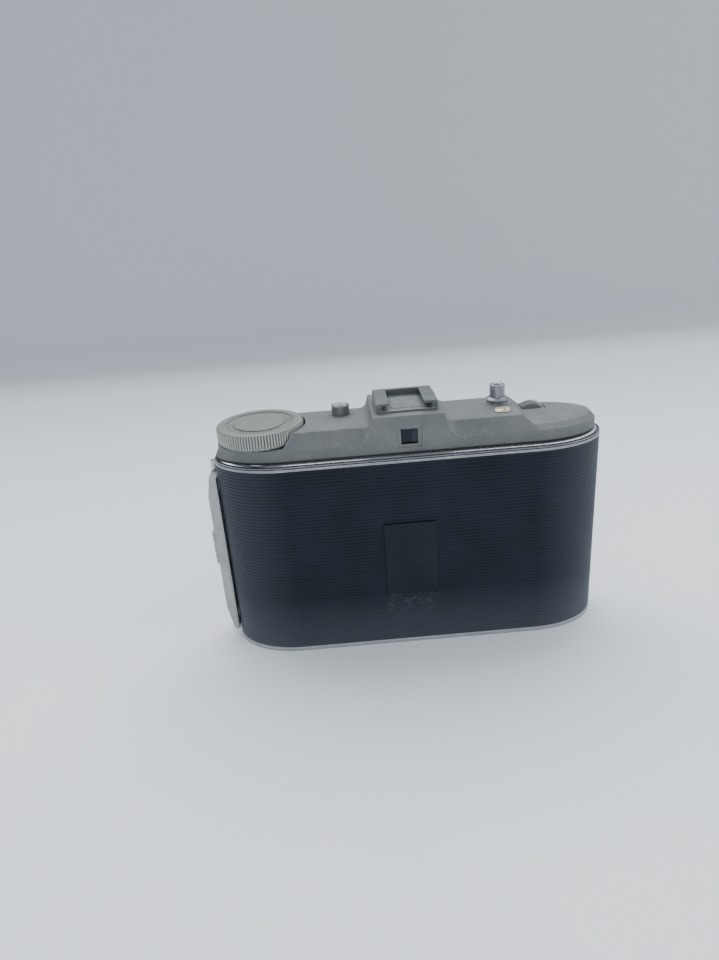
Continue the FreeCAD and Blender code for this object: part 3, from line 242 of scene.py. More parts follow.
def turned_knob():
    """Turned alloy, a little warmer than the housing, with fine rings round the knob's axis, and painted
    shade in the knurl's grooves and in the recessed ring.
    """
    knob = Span("winding_knob")
    rim_radius, disc_radius = knob.size.x / 2, Span("knob_disc").size.x / 2
    paint = Paint("turned_knob", Metallic=0.2, Specular_IOR_Level=0.3)
    offset = paint.vector("SUBTRACT", paint.where, (knob.mid.x * MM, knob.mid.y * MM, 0.0))
    radius = paint.vector("LENGTH", paint.vector("MULTIPLY", offset, (1.0, 1.0, 0.0)))

    def away(low, high):
        """0 to 1 between two distances from the knob's axis, in millimetres."""
        return paint.range(radius, low * MM, high * MM)

    ring = paint.node("ShaderNodeTexNoise", {"noise_dimensions": "1D"}, W=paint.times(radius, 1 / MM),
                      Scale=4.0, Detail=2.0).outputs["Fac"]
    smear = paint.grain(6, detail=5, rough=0.65)
    pit = paint.grain(0.55, detail=4, rough=0.7)
    colour = paint.mix(paint.range(smear, 0.32, 0.68), (0.210, 0.214, 0.200), (0.156, 0.161, 0.155))
    colour = paint.mix(paint.range(pit, 0.56, 0.8, 0.0, 0.6), colour, (0.14, 0.145, 0.145))
    below = paint.along("Z", knob.high.z - 0.1, knob.high.z - 0.5)
    rim = paint.times(away(rim_radius - 0.9, rim_radius - 0.5), below, 0.6)
    colour = paint.mix(rim, colour, (0.52, 0.525, 0.50))
    # Painted shade: the bottoms of the knurl's grooves, below the top, are darkened.
    painted_shade = paint.times(away(rim_radius - 0.12, rim_radius - 0.45), away(rim_radius - 1.2, rim_radius - 0.8),
                        below, 0.6)
    colour = paint.mix(painted_shade, colour, (0.07, 0.073, 0.076))
    # Painted shade: the recessed ring round the disc is painted darker and browner.
    painted_recess_shade = paint.times(away(disc_radius - 0.1, disc_radius + 0.1), away(disc_radius + 3.6, disc_radius + 3.3),
                       0.35)
    colour = paint.mix(painted_recess_shade, colour, (0.13, 0.125, 0.105))
    colour = paint.rubbed(colour, (0.56, 0.56, 0.53), 0.2, 1.5)
    polish = paint.range(smear, 0.3, 0.7, 0.44, 0.58)
    return paint.done(colour, polish, paint.bump(ring, 0.02, paint.bump(pit, 0.02)))


def plated_shoe():
    """Plated sheet, blue-grey, brushed and rubbed bright along the track that accessories slide on."""
    floor = Span("accessory_shoe").low.z + 0.9
    paint = Paint("plated_shoe", Metallic=0.15, Specular_IOR_Level=0.3)
    cloud = paint.grain(5, detail=4)
    scratch = paint.grain(0.35, detail=4, rough=0.7, stretch=(1, 14, 1))
    pit = paint.grain(0.8, detail=4, rough=0.7)
    colour = paint.mottle(cloud, (0.110, 0.122, 0.129), (0.084, 0.093, 0.099))
    track = paint.times(paint.along("Z", floor + 0.4, floor), paint.range(scratch, 0.4, 0.62, 0.35, 1.0))
    colour = paint.mix(track, colour, (0.175, 0.182, 0.182))
    colour = paint.mix(paint.range(pit, 0.56, 0.78, 0.0, 0.7), colour, (0.10, 0.11, 0.12))
    colour = paint.rubbed(colour, (0.36, 0.38, 0.39), 0.25, 1.4)
    return paint.done(colour, paint.range(cloud, 0.3, 0.7, 0.46, 0.6), paint.bump(scratch, 0.03))


def bead_metal():
    """The bead's rounded crown painted bright as a highlight, and its lip below painted a duller lilac-grey
    as a reflection, with a painted shadow line between them.
    """
    top = Span("top_trim").high.z
    paint = Paint("bead", Metallic=1.0)
    cloud = paint.grain(7, detail=4)
    # Painted highlight and painted reflection: one chrome bead gets a bright crown and a dull lilac-grey lip.
    crown = paint.mottle(cloud, (0.70, 0.71, 0.72), (0.56, 0.57, 0.59))
    lip = paint.mottle(cloud, (0.20, 0.205, 0.225), (0.15, 0.155, 0.175))
    colour = paint.mix(paint.along("Z", top - 0.48, top - 0.52), crown, lip)
    # Painted shadow: a near-black line on the crown's lower flank, where the groove below it lies in shade.
    groove = paint.times(paint.along("Z", top - 0.38, top - 0.42), paint.along("Z", top - 0.545, top - 0.535))
    colour = paint.mix(groove, colour, (0.03, 0.03, 0.035))
    return paint.done(colour, paint.range(cloud, 0.3, 0.7, 0.20, 0.30))


def leatherette(name, colour, roughness, rubbed_slide=False):
    """Coated cloth: near-black blue, a fine skin grain, dust in the valleys, scuffs where the slide rubs, and
    a painted reflection and sheen that make it paler towards the base and the round ends.
    """
    paint = Paint(name, Specular_IOR_Level=0.19)
    cloud = paint.grain(18, detail=4)
    skin = paint.grain(0.45, detail=4, rough=0.7)
    dust = paint.grain(0.9, detail=5, rough=0.8)
    paler = tuple(1.55 * c + 0.004 for c in colour)
    mixed = paint.mottle(cloud, colour, paler)
    mixed = paint.mix(paint.range(dust, 0.66, 0.80, 0.0, 0.30), mixed, (0.10, 0.11, 0.12))
    # Painted reflection and sheen: the covering is paler towards the base, where it would mirror the bright
    # table, and towards the round ends.
    painted_table_reflection = paint.along("Z", 24, 3, 0.0, 0.38)
    ends = paint.range(paint.math("ABSOLUTE", paint.axis("X")), STRAIGHT * MM, HALF_LENGTH * MM, 0.0, 0.31)
    mixed = paint.mix(paint.math("ADD", painted_table_reflection, ends), mixed, (0.10, 0.115, 0.135))
    if rubbed_slide:
        slide = Span("window_slide")
        across = paint.math("ABSOLUTE", paint.math("SUBTRACT", paint.axis("X"), slide.mid.x * MM))
        inside = paint.range(across, (slide.size.x / 2 + 1.0) * MM, (slide.size.x / 2 - 1.2) * MM)
        below = paint.along("Z", slide.low.z + 0.2, slide.low.z - 0.4)
        above = paint.along("Z", slide.low.z - 13, slide.low.z - 5)
        scuff = paint.range(paint.grain(1.6, detail=5, rough=0.7, stretch=(1.6, 1, 1)), 0.5, 0.68)
        rear = paint.along("Y", 0.0, 5.0)
        mixed = paint.mix(paint.times(inside, below, above, scuff, rear, 0.35), mixed, (0.12, 0.13, 0.14))
    polish = paint.range(cloud, 0.3, 0.7, roughness - 0.06, roughness + 0.06)
    return paint.done(mixed, polish, paint.bump(skin, 0.05))


def enamel(name, colour, roughness, crackle=0.0):
    """Stoved paint: smooth, or crackled inside the body, with faint dust."""
    paint = Paint(name, Coat_Weight=0.25, Coat_Roughness=0.2)
    dust = paint.grain(1.2, detail=5, rough=0.75)
    cloud = paint.grain(7, detail=3)
    paler = tuple(2.2 * c + 0.006 for c in colour)
    mixed = paint.mix(paint.range(dust, 0.58, 0.8, 0.0, 0.5), colour, paler)
    wrinkle = paint.grain(0.7 if crackle else 2.5, detail=2)
    polish = paint.range(cloud, 0.3, 0.7, roughness - 0.06, roughness + 0.08)
    return paint.done(mixed, polish, paint.bump(wrinkle, crackle or 0.01))


def glass(name, tint, coat=(0.75, 0.8, 1.0), roughness=0.02):
    """Clear or coloured glass with a trace of dust on it."""
    paint = Paint(name, IOR=1.52, Transmission_Weight=1.0, Specular_Tint=(*coat, 1.0))
    dust = paint.grain(1.1, detail=6, rough=0.8)
    mixed = paint.mix(paint.range(dust, 0.62, 0.8, 0.0, 0.25), tint, tuple(0.6 * c for c in tint))
    return paint.done(mixed, paint.range(dust, 0.5, 0.8, roughness, roughness + 0.1))


def make_finishes():
    """One material for each of the record's slots, and more for pieces that look unlike their slot."""
    return {
        "case_metal": metal("cast_body", (0.30, 0.31, 0.32), (0.20, 0.21, 0.22), 0.42, grain=0.6, depth=0.03),
        "chrome": metal("chrome", (0.29, 0.30, 0.31), (0.22, 0.23, 0.24), 0.32, grain=1.6, depth=0.003,
                        metallic=0.8, worn=(0.66, 0.66, 0.68)),
        "black_enamel": enamel("black_enamel", (0.012, 0.012, 0.014), 0.32, crackle=0.06),
        "nickel": metal("nickel", (0.55, 0.54, 0.51), (0.42, 0.41, 0.39), 0.24, grain=0.3, depth=0.006,
                        brushed=(8, 1, 1), worn=(0.7, 0.69, 0.66)),
        "brass": metal("worn_brass", (0.62, 0.58, 0.44), (0.42, 0.38, 0.25), 0.30, grain=0.4, depth=0.01,
                       worn=(0.80, 0.78, 0.68)),
        "leatherette": leatherette("ribbed_leatherette", (0.0042, 0.0075, 0.0140), 0.52, rubbed_slide=True),
        "steel": metal("turned_steel", (0.42, 0.43, 0.45), (0.30, 0.31, 0.33), 0.28, grain=0.3, depth=0.006),
        "housing_metal": cast_housing(),
        "glass": glass("clear_glass", (0.86, 0.92, 0.95)),
        "mirror": metal("silvering", (0.86, 0.87, 0.88), (0.78, 0.80, 0.82), 0.08, grain=1.5, depth=0.001),
        "shoe_metal": plated_shoe(),
        "knob_metal": turned_knob(),
        "red_glass": glass("ruby_glass", (0.55, 0.02, 0.015)),
        "slide_leather": leatherette("smooth_leatherette", (0.0048, 0.0080, 0.0132), 0.55),
        "latch_metal": metal("latch_alloy", (0.36, 0.37, 0.375), (0.265, 0.275, 0.28), 0.42, grain=0.6,
                             depth=0.012, brushed=(1, 1, 7), metallic=0.7, worn=(0.55, 0.56, 0.56)),
        "bellows_leather": leatherette("bellows_cloth", (0.010, 0.010, 0.011), 0.6),
        "bead": bead_metal(),
        "base_rim": metal("base_rim", (0.40, 0.41, 0.435), (0.31, 0.32, 0.34), 0.38, grain=1.6, depth=0.004,
                          metallic=0.5, worn=(0.66, 0.67, 0.69)),
        "wheel": metal("wheel_metal", (0.185, 0.19, 0.185), (0.135, 0.14, 0.138), 0.5, grain=0.9,
                       metallic=0.2, worn=(0.30, 0.31, 0.30)),
        "white_paint": enamel("white_paint", (0.62, 0.62, 0.59), 0.5),
        "black_paint": enamel("black_paint", (0.015, 0.015, 0.016), 0.5),
        "eyepiece": glass("eyepiece_glass", (0.16, 0.18, 0.21), coat=(0.5, 0.55, 0.65), roughness=0.06),
    }


FINISH = make_finishes()


def dress_cad_nodes():
    """Every CAD node wears its slot's material, but for the darker glass of the eyepiece."""
    for part in frame["record"]["subparts"]:
        mesh = frame["nodes"][part["node"]].data
        mesh.materials.clear()
        finish = "eyepiece" if part["node"] == "eyepiece_glass" else part["material_slot"]
        mesh.materials.append(FINISH[finish])


# ---- mesh tools

def placed(name, data):
    """A new object in the scene."""
    made = bpy.data.objects.new(name, data)
    bpy.context.scene.collection.objects.link(made)
    return made


def mesh_from(points, faces, sharp=32):
    """A mesh in metres from points in millimetres, smooth but for its sharp edges."""
    work = bmesh.new()
    verts = [work.verts.new(Vector(p) * MM) for p in points]
    for face in faces:
        corners = [verts[i] for i in face]
        if len(set(corners)) > 2:
            try:
                work.faces.new(corners)
            except ValueError:
                continue
    bmesh.ops.remove_doubles(work, verts=work.verts, dist=0.002 * MM)
    loose = [v for v in work.verts if not v.link_faces]
    bmesh.ops.delete(work, geom=loose, context="VERTS")
    bmesh.ops.recalc_face_normals(work, faces=work.faces)
    mesh = bpy.data.meshes.new("mesh")
    work.to_mesh(mesh)
    work.free()
    mesh.shade_smooth()
    mesh.set_sharp_from_angle(angle=radians(sharp))
    return mesh


def add(name, mesh, body, slot, *stands_for, finish=None):
    """Puts a mesh in the scene on a CAD body, with its slot's material or another, in place of CAD nodes."""
    mesh.name = name
    piece = placed(name, mesh)
    mesh.materials.clear()
    mesh.materials.append(FINISH[finish or slot])
    if body:
        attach(piece, body)
    if stands_for:
        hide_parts(*stands_for)
    return piece


def eased(outline, radius, closed=False, steps=4):
    """An outline with its corners rounded, as far as its straight runs leave room."""
    corners = [Vector(p) for p in outline]
    count = len(corners)
    rounded = []
    for i, corner in enumerate(corners):
        if not closed and i in (0, count - 1):
            rounded.append(corner)
            continue
        before = corners[i - 1] - corner
        after = corners[(i + 1) % count] - corner
        reach = min(radius, 0.45 * before.length, 0.45 * after.length)
        start = corner + before.normalized() * reach
        end = corner + after.normalized() * reach
        for step in range(steps + 1):
            t = step / steps
            rounded.append((1 - t) ** 2 * start + 2 * t * (1 - t) * corner + t ** 2 * end)
    return [(p.x, p.y) for p in rounded]


def lathe(outline, steps, centre, facing="up", wave=None, sharp=32):
    """An outline of (radius, height) points turned about an axis.

    wave(angle, radius, height) gives the (radius, height) that the outline's point moves to at that angle.
    """
    points = []
    for i in range(steps):
        angle = TAU * i / steps
        for radius, height in outline:
            if wave and radius > 0:
                radius, height = wave(angle, radius, height)
            across, along = radius * cos(angle), radius * sin(angle)
            if facing == "up":
                points.append((centre[0] + across, centre[1] + along, height))
            else:
                points.append((centre[0] + across, centre[1] - height, centre[2] + along))
    rows = len(outline)
    faces = []
    for i in range(steps):
        here, there = i * rows, (i + 1) % steps * rows
        for j in range(rows - 1):
            faces.append((here + j, there + j, there + j + 1, here + j + 1))
        if outline[0][0] > 0 or outline[-1][0] > 0:
            faces.append((here + rows - 1, there + rows - 1, there, here))
    return mesh_from(points, faces, sharp)


def prism(outline, near, far):
    """A closed outline in X and Z, carried along Y."""
    count = len(outline)
    points = [(x, y, z) for y in (near, far) for x, z in outline]
    faces = [tuple(range(count)), tuple(range(2 * count - 1, count - 1, -1))]
    faces += [(i, (i + 1) % count, count + (i + 1) % count, count + i) for i in range(count)]
    return mesh_from(points, faces)


def rectangle(x_low, x_high, z_low, z_high):
    return [(x_low, z_low), (x_high, z_low), (x_high, z_high), (x_low, z_high)]


def united(mesh, *tools):
    """The mesh after a union with each of the tools."""
    base = placed("combining", mesh)
    helpers = []
    for tool in tools:
        helper = placed("tool", tool)
        helpers.append(helper)
        step = base.modifiers.new("step", "BOOLEAN")
        step.operation = "UNION"
        step.solver = "EXACT"
        step.object = helper
    bpy.context.view_layer.update()
    made = bpy.data.meshes.new_from_object(base.evaluated_get(bpy.context.evaluated_depsgraph_get()))
    for used in (base, *helpers):
        bpy.data.objects.remove(used)
    return made


def bevelled(mesh, width, sharp=32):
    """The mesh with its sharp edges rounded."""
    work = bmesh.new()
    work.from_mesh(mesh)
    bmesh.ops.remove_doubles(work, verts=work.verts, dist=0.002 * MM)
    edges = [e for e in work.edges if len(e.link_faces) == 2 and e.calc_face_angle() > radians(sharp)]
    bmesh.ops.bevel(work, geom=edges, offset=width * MM, segments=2, profile=0.6, affect="EDGES",
                    clamp_overlap=True)
    work.to_mesh(mesh)
    work.free()
    mesh.shade_smooth()
    mesh.set_sharp_from_angle(angle=radians(50))
    return mesh


def joined(meshes):
    """Several meshes as one, with their parts left separate."""
    work = bmesh.new()
    for mesh in meshes:
        work.from_mesh(mesh)
    made = bpy.data.meshes.new("joined")
    work.to_mesh(made)
    work.free()
    made.shade_smooth()
    made.set_sharp_from_angle(angle=radians(32))
    return made


def saw(angle, teeth):
    """0 to 1 and back, once round each tooth."""
    return abs((angle * teeth / TAU) % 1.0 - 0.5) * 2


def nearest(values, wanted):
    """The index of the value closest to the one wanted."""
    return min(range(len(values)), key=lambda i: abs(values[i] - wanted))


# ---- plan of the body

def stations(start, stop, round_step=3.0, straight=()):
    """Places along the body's outline, anticlockwise from one angle to another, in degrees.

    A place is (shift, angle): the centre of its round end along X and the angle on it. The straight side's
    places have the side's own angle and run between the two ends.
    """
    side = 270 if stop > 270 or start >= 180 else 90
    ends = (STRAIGHT, -STRAIGHT) if side == 90 else (-STRAIGHT, STRAIGHT)
    places = []

    def bend(shift, low, high):
        count = max(1, round((high - low) / round_step))
        places.extend((shift, radians(low + (high - low) * i / count)) for i in range(count + 1))

    if start < side:
        bend(ends[0], start, min(side, stop))
    places.extend((x, radians(side)) for x in straight)
    if stop > side:
        bend(ends[1], max(side, start), stop)
    return places


def on_plan(place, inset):
    shift, angle = place
    return shift + (END_ROUND - inset) * cos(angle), (HALF_DEPTH - inset) * sin(angle)


def on_wall(place, inset, height):
    return (*on_plan(place, inset), height)


def spread(low, high, step):
    """Numbers from low to high, evenly spaced by about a step."""
    count = max(1, round(abs(high - low) / step))
    return [low + (high - low) * i / count for i in range(count + 1)]


def band(section, dent=None):
    """A closed section of (inset, height) points carried all round the body's outline."""
    side = spread(-STRAIGHT, STRAIGHT, 2.0)
    back = [(x, radians(90)) for x in reversed(side[1:-1])]
    front = [(x, radians(270)) for x in side[1:-1]]
    places = (stations(0, 90) + back + stations(90.0001, 180) + stations(180, 270)[1:]
              + front + stations(270.0001, 360)[:-1])
    points = []
    for place in places:
        for inset, height in section:
            x, y = on_plan(place, inset)
            points.append((x, y, height + (dent(x, y, inset, height) if dent else 0.0)))
    rows, count = len(section), len(places)
    faces = []
    for i in range(count):
        here, there = i * rows, (i + 1) % count * rows
        for j in range(rows):
            after = (j + 1) % rows
            faces.append((here + j, there + j, there + after, here + after))
    return mesh_from(points, faces)


def ribbed(columns, heights, at=on_wall, relief=None, openings=()):
    """A ribbed sheet: a relief outside, plain inside, closed round its edges and its openings.

    at(column, inset, height) gives a point. relief(column, height) is how far below the crests the outside
    is, and plain ribs if it isn't given. An opening is (first column, last column, low, high).
    """
    relief = relief or (lambda _, height: rib_inset(height, heights[0], heights[-1]))
    breaks = sorted({0, len(heights) - 1, *(nearest(heights, edge) for o in openings for edge in o[2:])})

    def solid(i, j):
        if not (0 <= i < len(columns) - 1 and 0 <= j < len(heights) - 1):
            return False
        middle = (heights[j] + heights[j + 1]) / 2
        return not any(first <= i < last and low < middle < high for first, last, low, high in openings)

    points = [at(column, relief(column, height), height) for column in columns for height in heights]
    points += [at(column, COVERING, heights[j]) for column in columns for j in breaks]
    rows, inner_rows, start = len(heights), len(breaks), len(columns) * len(heights)

    def out(i, j):
        return i * rows + j

    def inn(i, k):
        return start + i * inner_rows + k

    faces = [(out(i, j), out(i + 1, j), out(i + 1, j + 1), out(i, j + 1))
             for i in range(len(columns) - 1) for j in range(rows - 1) if solid(i, j)]
    for k in range(inner_rows - 1):
        low, high = breaks[k], breaks[k + 1]
        for i in range(len(columns)):
            if solid(i, low):
                faces.append((inn(i, k), inn(i, k + 1), inn(i + 1, k + 1), inn(i + 1, k)))
            if solid(i, low) != solid(i - 1, low):
                faces.append((inn(i, k), *(out(i, j) for j in range(low, high + 1)), inn(i, k + 1)))
    for k, j in enumerate(breaks):
        for i in range(len(columns) - 1):
            if solid(i, j) != solid(i, j - 1):
                faces.append((out(i, j), out(i + 1, j), inn(i + 1, k), inn(i, k)))
    return mesh_from(points, faces, sharp=60)


def rib_heights(low, high):
    """Heights of the rows of a ribbed sheet, a few to each rib."""
    count = round((high - low) / RIB_PITCH)
    pitch = (high - low) / count
    return [low + (i + step) * pitch for i in range(count) for step in RIB_STEPS] + [high]


def rib_inset(height, low, high):
    """How far below the crests a rib is at a height: 0 on its crest."""
    count = round((high - low) / RIB_PITCH)
    part = (height - low) / (high - low) * count % 1.0
    return RIB_DEPTH * abs(2 * part - 1) ** 3.2


# ---- body, back and coverings

def back_leather():
    """The back's ribbed covering, with the window's opening and ribs rubbed down below the slide."""
    cover, slide = Span("back_covering"), Span("window_slide")
    low, high = cover.low.z, cover.high.z
    start = degrees(asin(cover.low.y / HALF_DEPTH))
    left, right = slide.high.x - SLIDE_PLAY, slide.low.x + SLIDE_PLAY
    side = (spread(STRAIGHT - 2, left + 2.6, 4.0) + spread(left, right, 0.7)
            + spread(right - 2.6, -STRAIGHT + 2, 4.0))
    columns = stations(start, 180 - start, 2.6, side)
    first, last = (nearest([shift for shift, _ in columns], edge) for edge in (left, right))

    def relief(place, height):
        inset = rib_inset(height, low, high)
        if right <= place[0] <= left and height < slide.low.z + 1:
            fade = min(1.0, max(0.0, (height - slide.low.z + 15) / 6))
            rub = fade * (0.35 + 0.65 * noise.noise(Vector((place[0] * 0.5, height * 0.8, 3.0))))
            inset += max(0.0, rub) * (0.75 * RIB_DEPTH - inset)
        return inset

    opening = (first, last, slide.low.z + 0.8, slide.high.z - 0.6)
    heights = rib_heights(low, high)
    for edge in opening[2:]:
        heights[nearest(heights, edge)] = edge
    mesh = ribbed(columns, heights, relief=relief, openings=[opening])
    add("back_leather", mesh, "back", "leatherette", "back_covering")


def front_leather():
    """The ribbed covering of the body's front corners, either side of the door surround."""
    cover, knuckle = Span("front_covering"), Span("back_hinge_pin")
    notch_low, notch_high = 4.2, 72.3
    low, high = cover.low.z, cover.high.z
    gap = Span("front_door").high.x + 2.2
    hinge = 180 + degrees(asin((-knuckle.mid.y + 2.2) / HALF_DEPTH))
    notch = [360 + degrees(asin(y / HALF_DEPTH)) for y in (-8.0, -4.4)]
    heights = rib_heights(low, high)
    hinge_side = stations(hinge, 270, 2.6) + [(-gap, radians(270))]
    latch_side = ([(gap, radians(270))] + stations(270, notch[0], 2.6)
                  + stations(notch[0], notch[1], 2.6)[1:] + stations(notch[1], 359.7, 2.6)[1:])
    first, last = (nearest([angle for _, angle in latch_side], radians(side)) for side in notch)
    notches = [(first, last, low - 1, notch_low), (first, last, notch_high, high + 1)]
    for edge in (notch_low, notch_high):
        heights[nearest(heights, edge)] = edge
    sheets = [ribbed(hinge_side, heights), ribbed(latch_side, heights, openings=notches)]
    add("front_leather", joined(sheets), "camera_body", "leatherette", "front_covering")


def door_leather():
    """The ribbed panel on the front door, with rounded upper corners."""
    panel = Span("door_covering")
    low, high = panel.low.z, panel.high.z
    corner = 3.5

    def at(x, inset, height):
        inward = max(0.0, abs(x - panel.mid.x) - (panel.size.x / 2 - corner))
        top = high - corner + sqrt(max(0.0, corner ** 2 - inward ** 2))
        return x, panel.low.y + inset, min(height, top)

    arc = [corner * (1 - cos(radians(step))) for step in range(0, 91, 15)]
    columns = [panel.low.x + a for a in arc]
    columns += spread(panel.low.x + corner + 4, panel.high.x - corner - 4, 6.0)
    columns += [panel.high.x - a for a in reversed(arc)]
    mesh = ribbed(columns, rib_heights(low, high), at)
    add("door_leather", mesh, "door", "leatherette", "door_covering")


def trims():
    """The bright bead under the top housing, with its small dent, and the band round the base."""
    bead, base = Span("top_trim"), Span("base_trim")
    low, high = bead.low.z, bead.high.z
    crown = [(BEAD_WIDTH, high - 0.55), (BEAD_WIDTH, high - 0.1), (BEAD_WIDTH - 0.15, high),
             (1.6, high - 0.17), (1.05, high - 0.42), (0.98, high - 0.85)]
    lip = [(0.64, high - 0.85), (0.62, high - 0.60), (0.5, high - 0.55), (0.12, high - 0.58),
           (0.0, high - 0.75), (0.05, low + 0.1), (0.2, low)]
    section = [(4.5, low), (4.5, high), (BEAD_WIDTH + 0.75, high), (BEAD_WIDTH + 0.7, high - 0.55)]
    section += eased(crown, 0.2) + eased(lip, 0.2)
    dent_at, dent_depth = 57.0, 0.32

    def dent(x, y, inset, height):
        near = exp(-((x - dent_at) / 1.6) ** 2) if y > 0 and 0.7 < inset < 2.2 else 0.0
        return -dent_depth * near if height > bead.mid.z else 0.0

    add("bead", band(section, dent=dent), "camera_body", "chrome", "top_trim", finish="bead")
    foot = eased([(1.2, base.low.z), (0.0, base.low.z), (0.0, base.high.z), (1.2, base.high.z)], 0.5, steps=5)
    add("base_band", band(foot), "camera_body", "chrome", "base_trim", finish="base_rim")


def slide():
    """The window slide: a thin smooth plate with softened edges and its two short runners."""
    cad = Span("window_slide")
    face = eased(rectangle(cad.low.x, cad.high.x, cad.low.z, cad.high.z), 0.5, closed=True)
    plate = bevelled(prism(face, cad.high.y - 0.55, cad.high.y), 0.14, sharp=50)
    runners = [bevelled(prism(rectangle(x - 0.2, x + 0.2, cad.high.z - 4, cad.high.z - 1),
                              cad.low.y, cad.high.y - 0.5), 0.05) for x in (cad.mid.x - 9.3, cad.mid.x + 9.3)]
    add("slide", joined([plate, *runners]), "window_slide", "slide_leather", "window_slide")


# ---- top of the camera

def knob():
    """The winding knob: straight-knurled rim, flat top and a recessed ring with arc-shaped grooves."""
    cad, disc = Span("winding_knob"), Span("knob_disc")
    radius, low, top = cad.size.x / 2, cad.low.z, cad.high.z
    inner, recess = disc.size.x / 2, 3.4
    ring = [inner + recess - recess * i / 24 for i in range(25)]
    outline = [(0, low), (radius - 0.9, low), (radius - 0.05, low + 0.8), (radius - 0.05, top - 0.55),
               (radius - 0.5, top - 0.03), (ring[0] + 0.05, top - 0.03)]
    outline = eased(outline, 0.18, steps=2)
    outline += [(r, top - 0.4) for r in ring] + [(0, top - 0.4)]

    def wave(angle, r, z):
        if r > radius - 0.8 and low + 0.3 < z < top:
            depth = 0.6 * min(1.0, (r - radius + 0.8) / 0.6)
            return r - depth * max(0.0, (saw(angle, KNOB_TEETH) - 0.3) / 0.7) ** 0.9, z
        if inner < r < ring[0] and z < top - 0.3:
            beside = abs(cos(angle)) ** 1.5
            share = min(1.0, max(0.0, (beside - 0.62) / 0.12))
            groove = 0.5 - 0.5 * cos(TAU * (r - inner) / 1.05)
            return r, z - 0.02 + 0.3 * share * groove
        return r, z

    mesh = lathe(outline, KNOB_TEETH * 10, cad.mid, wave=wave, sharp=40)
    add("knob", mesh, "winding", "knob_metal", "winding_knob")
    plate = [(0, disc.low.z), (inner - 0.02, disc.low.z), (inner - 0.02, disc.high.z - 0.12),
             (inner - 0.25, disc.high.z), (inner - 1.1, disc.high.z), (inner - 1.25, disc.high.z - 0.08),
             (inner - 1.4, disc.high.z), (0, disc.high.z - 0.03)]
    plate = eased(plate, 0.08, steps=2)
    add("disc", lathe(plate, 128, disc.mid), "winding", "knob_metal", "knob_disc")


def thumb_wheel():
    """The rangefinder's thumb wheel, toothed all round, with chamfered rims."""
    cad = Span("rangefinder_wheel")
    radius, near, far = cad.size.x / 2, -cad.high.y, -cad.low.y
    outline = [(1.25, near), (radius - 1.1, near), (radius - 0.75, near + 0.12), (radius, near + 0.75),
               (radius, far - 0.6), (radius - 0.6, far), (1.25, far)]
    outline = eased(outline, 0.12, steps=2)

    def wave(angle, r, h):
        if r > radius - 0.7:
            return r - 0.55 * min(1.0, (r - radius + 0.7) / 0.4) * saw(angle, WHEEL_TEETH) ** 1.2, h
        return r, h

    mesh = lathe(outline, WHEEL_TEETH * 8, (cad.mid.x, 0, cad.mid.z), "front", wave, sharp=40)
    add("thumb_wheel", mesh, "range_wheel", "knob_metal", "rangefinder_wheel", finish="wheel")


def top_buttons():
    """Door button with a hatched hollow top, threaded shutter release and its two return springs."""
    button = Span("door_button")
    radius, top = button.size.x / 2, button.high.z
    rings = [radius - 0.6 - (radius - 0.6) * i / 14 for i in range(15)]
    outline = [(0, button.low.z), (radius, button.low.z), (radius, top - 0.4), (radius - 0.35, top),
               (radius - 0.5, top)] + [(r, top - 0.3 * (1 - (r / radius) ** 2)) for r in rings]

    def hatch(angle, r, z):
        if r < radius - 0.55 and z > top - 1:
            x, y = r * cos(angle), r * sin(angle)
            return r, z + 0.07 * cos(TAU * (x + y) / 1.1) * cos(TAU * (x - y) / 1.1)
        return r, z

    mesh = lathe(outline, 96, button.mid, wave=hatch, sharp=40)
    add("door_push", mesh, "door_button", "chrome", "door_button")

    release = Span("release_button")
    radius, top, bore = release.size.x / 2, release.high.z, 1.35
    stem, shoulder, depth = 1.0, 87.6, 5.0
    thread = []
    for turn in range(9):
        level = top - 0.45 - 0.5 * turn
        thread += [(bore, level), (bore + 0.22, level - 0.2), (bore, level - 0.4)]
    outline = [(0, release.low.z), (stem, release.low.z), (stem, shoulder), (radius, shoulder),
               (radius, top - 0.5), (radius - 0.18, top - 0.12), (radius - 0.42, top), (bore + 0.5, top),
               (bore, top - 0.35), *thread, (bore, top - depth), (0, top - depth)]
    mesh = lathe(outline, 64, release.mid, sharp=40)
    add("release_plunger", mesh, "release", "chrome", "release_button")

    for name, node, body in (("release_coil", "release_spring", "release"),
                             ("button_coil", "door_button_spring", "door_button")):
        ring, joint = Span(node), body + "_press"
        mesh = coil(ring, wire=0.28, turns=6)
        piece = add(name, mesh, body, "steel", node)
        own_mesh(piece)


def coil(ring, wire, turns, per_turn=28, around=8):
    """A coil spring along Z that fills a ring's box, with its end turns closed."""
    mean, low, high = ring.size.x / 2 - wire, ring.low.z + wire, ring.high.z - wire
    count = turns * per_turn
    points = []
    for i in range(count + 1):
        part = i / count
        angle = TAU * turns * part
        rise = min(1.0, max(0.0, (part - 0.12) / 0.76))
        height = low + (high - low) * rise
        for k in range(around):
            lean = TAU * k / around
            r = mean + wire * cos(lean)
            points.append((ring.mid.x + r * cos(angle), ring.mid.y + r * sin(angle),
                           height + wire * sin(lean)))
    faces = [(row + k, row + around + k, row + around + (k + 1) % around, row + (k + 1) % around)
             for row in range(0, count * around, around) for k in range(around)]
    faces += [tuple(range(around)), tuple(count * around + k for k in reversed(range(around)))]
    return mesh_from(points, faces)


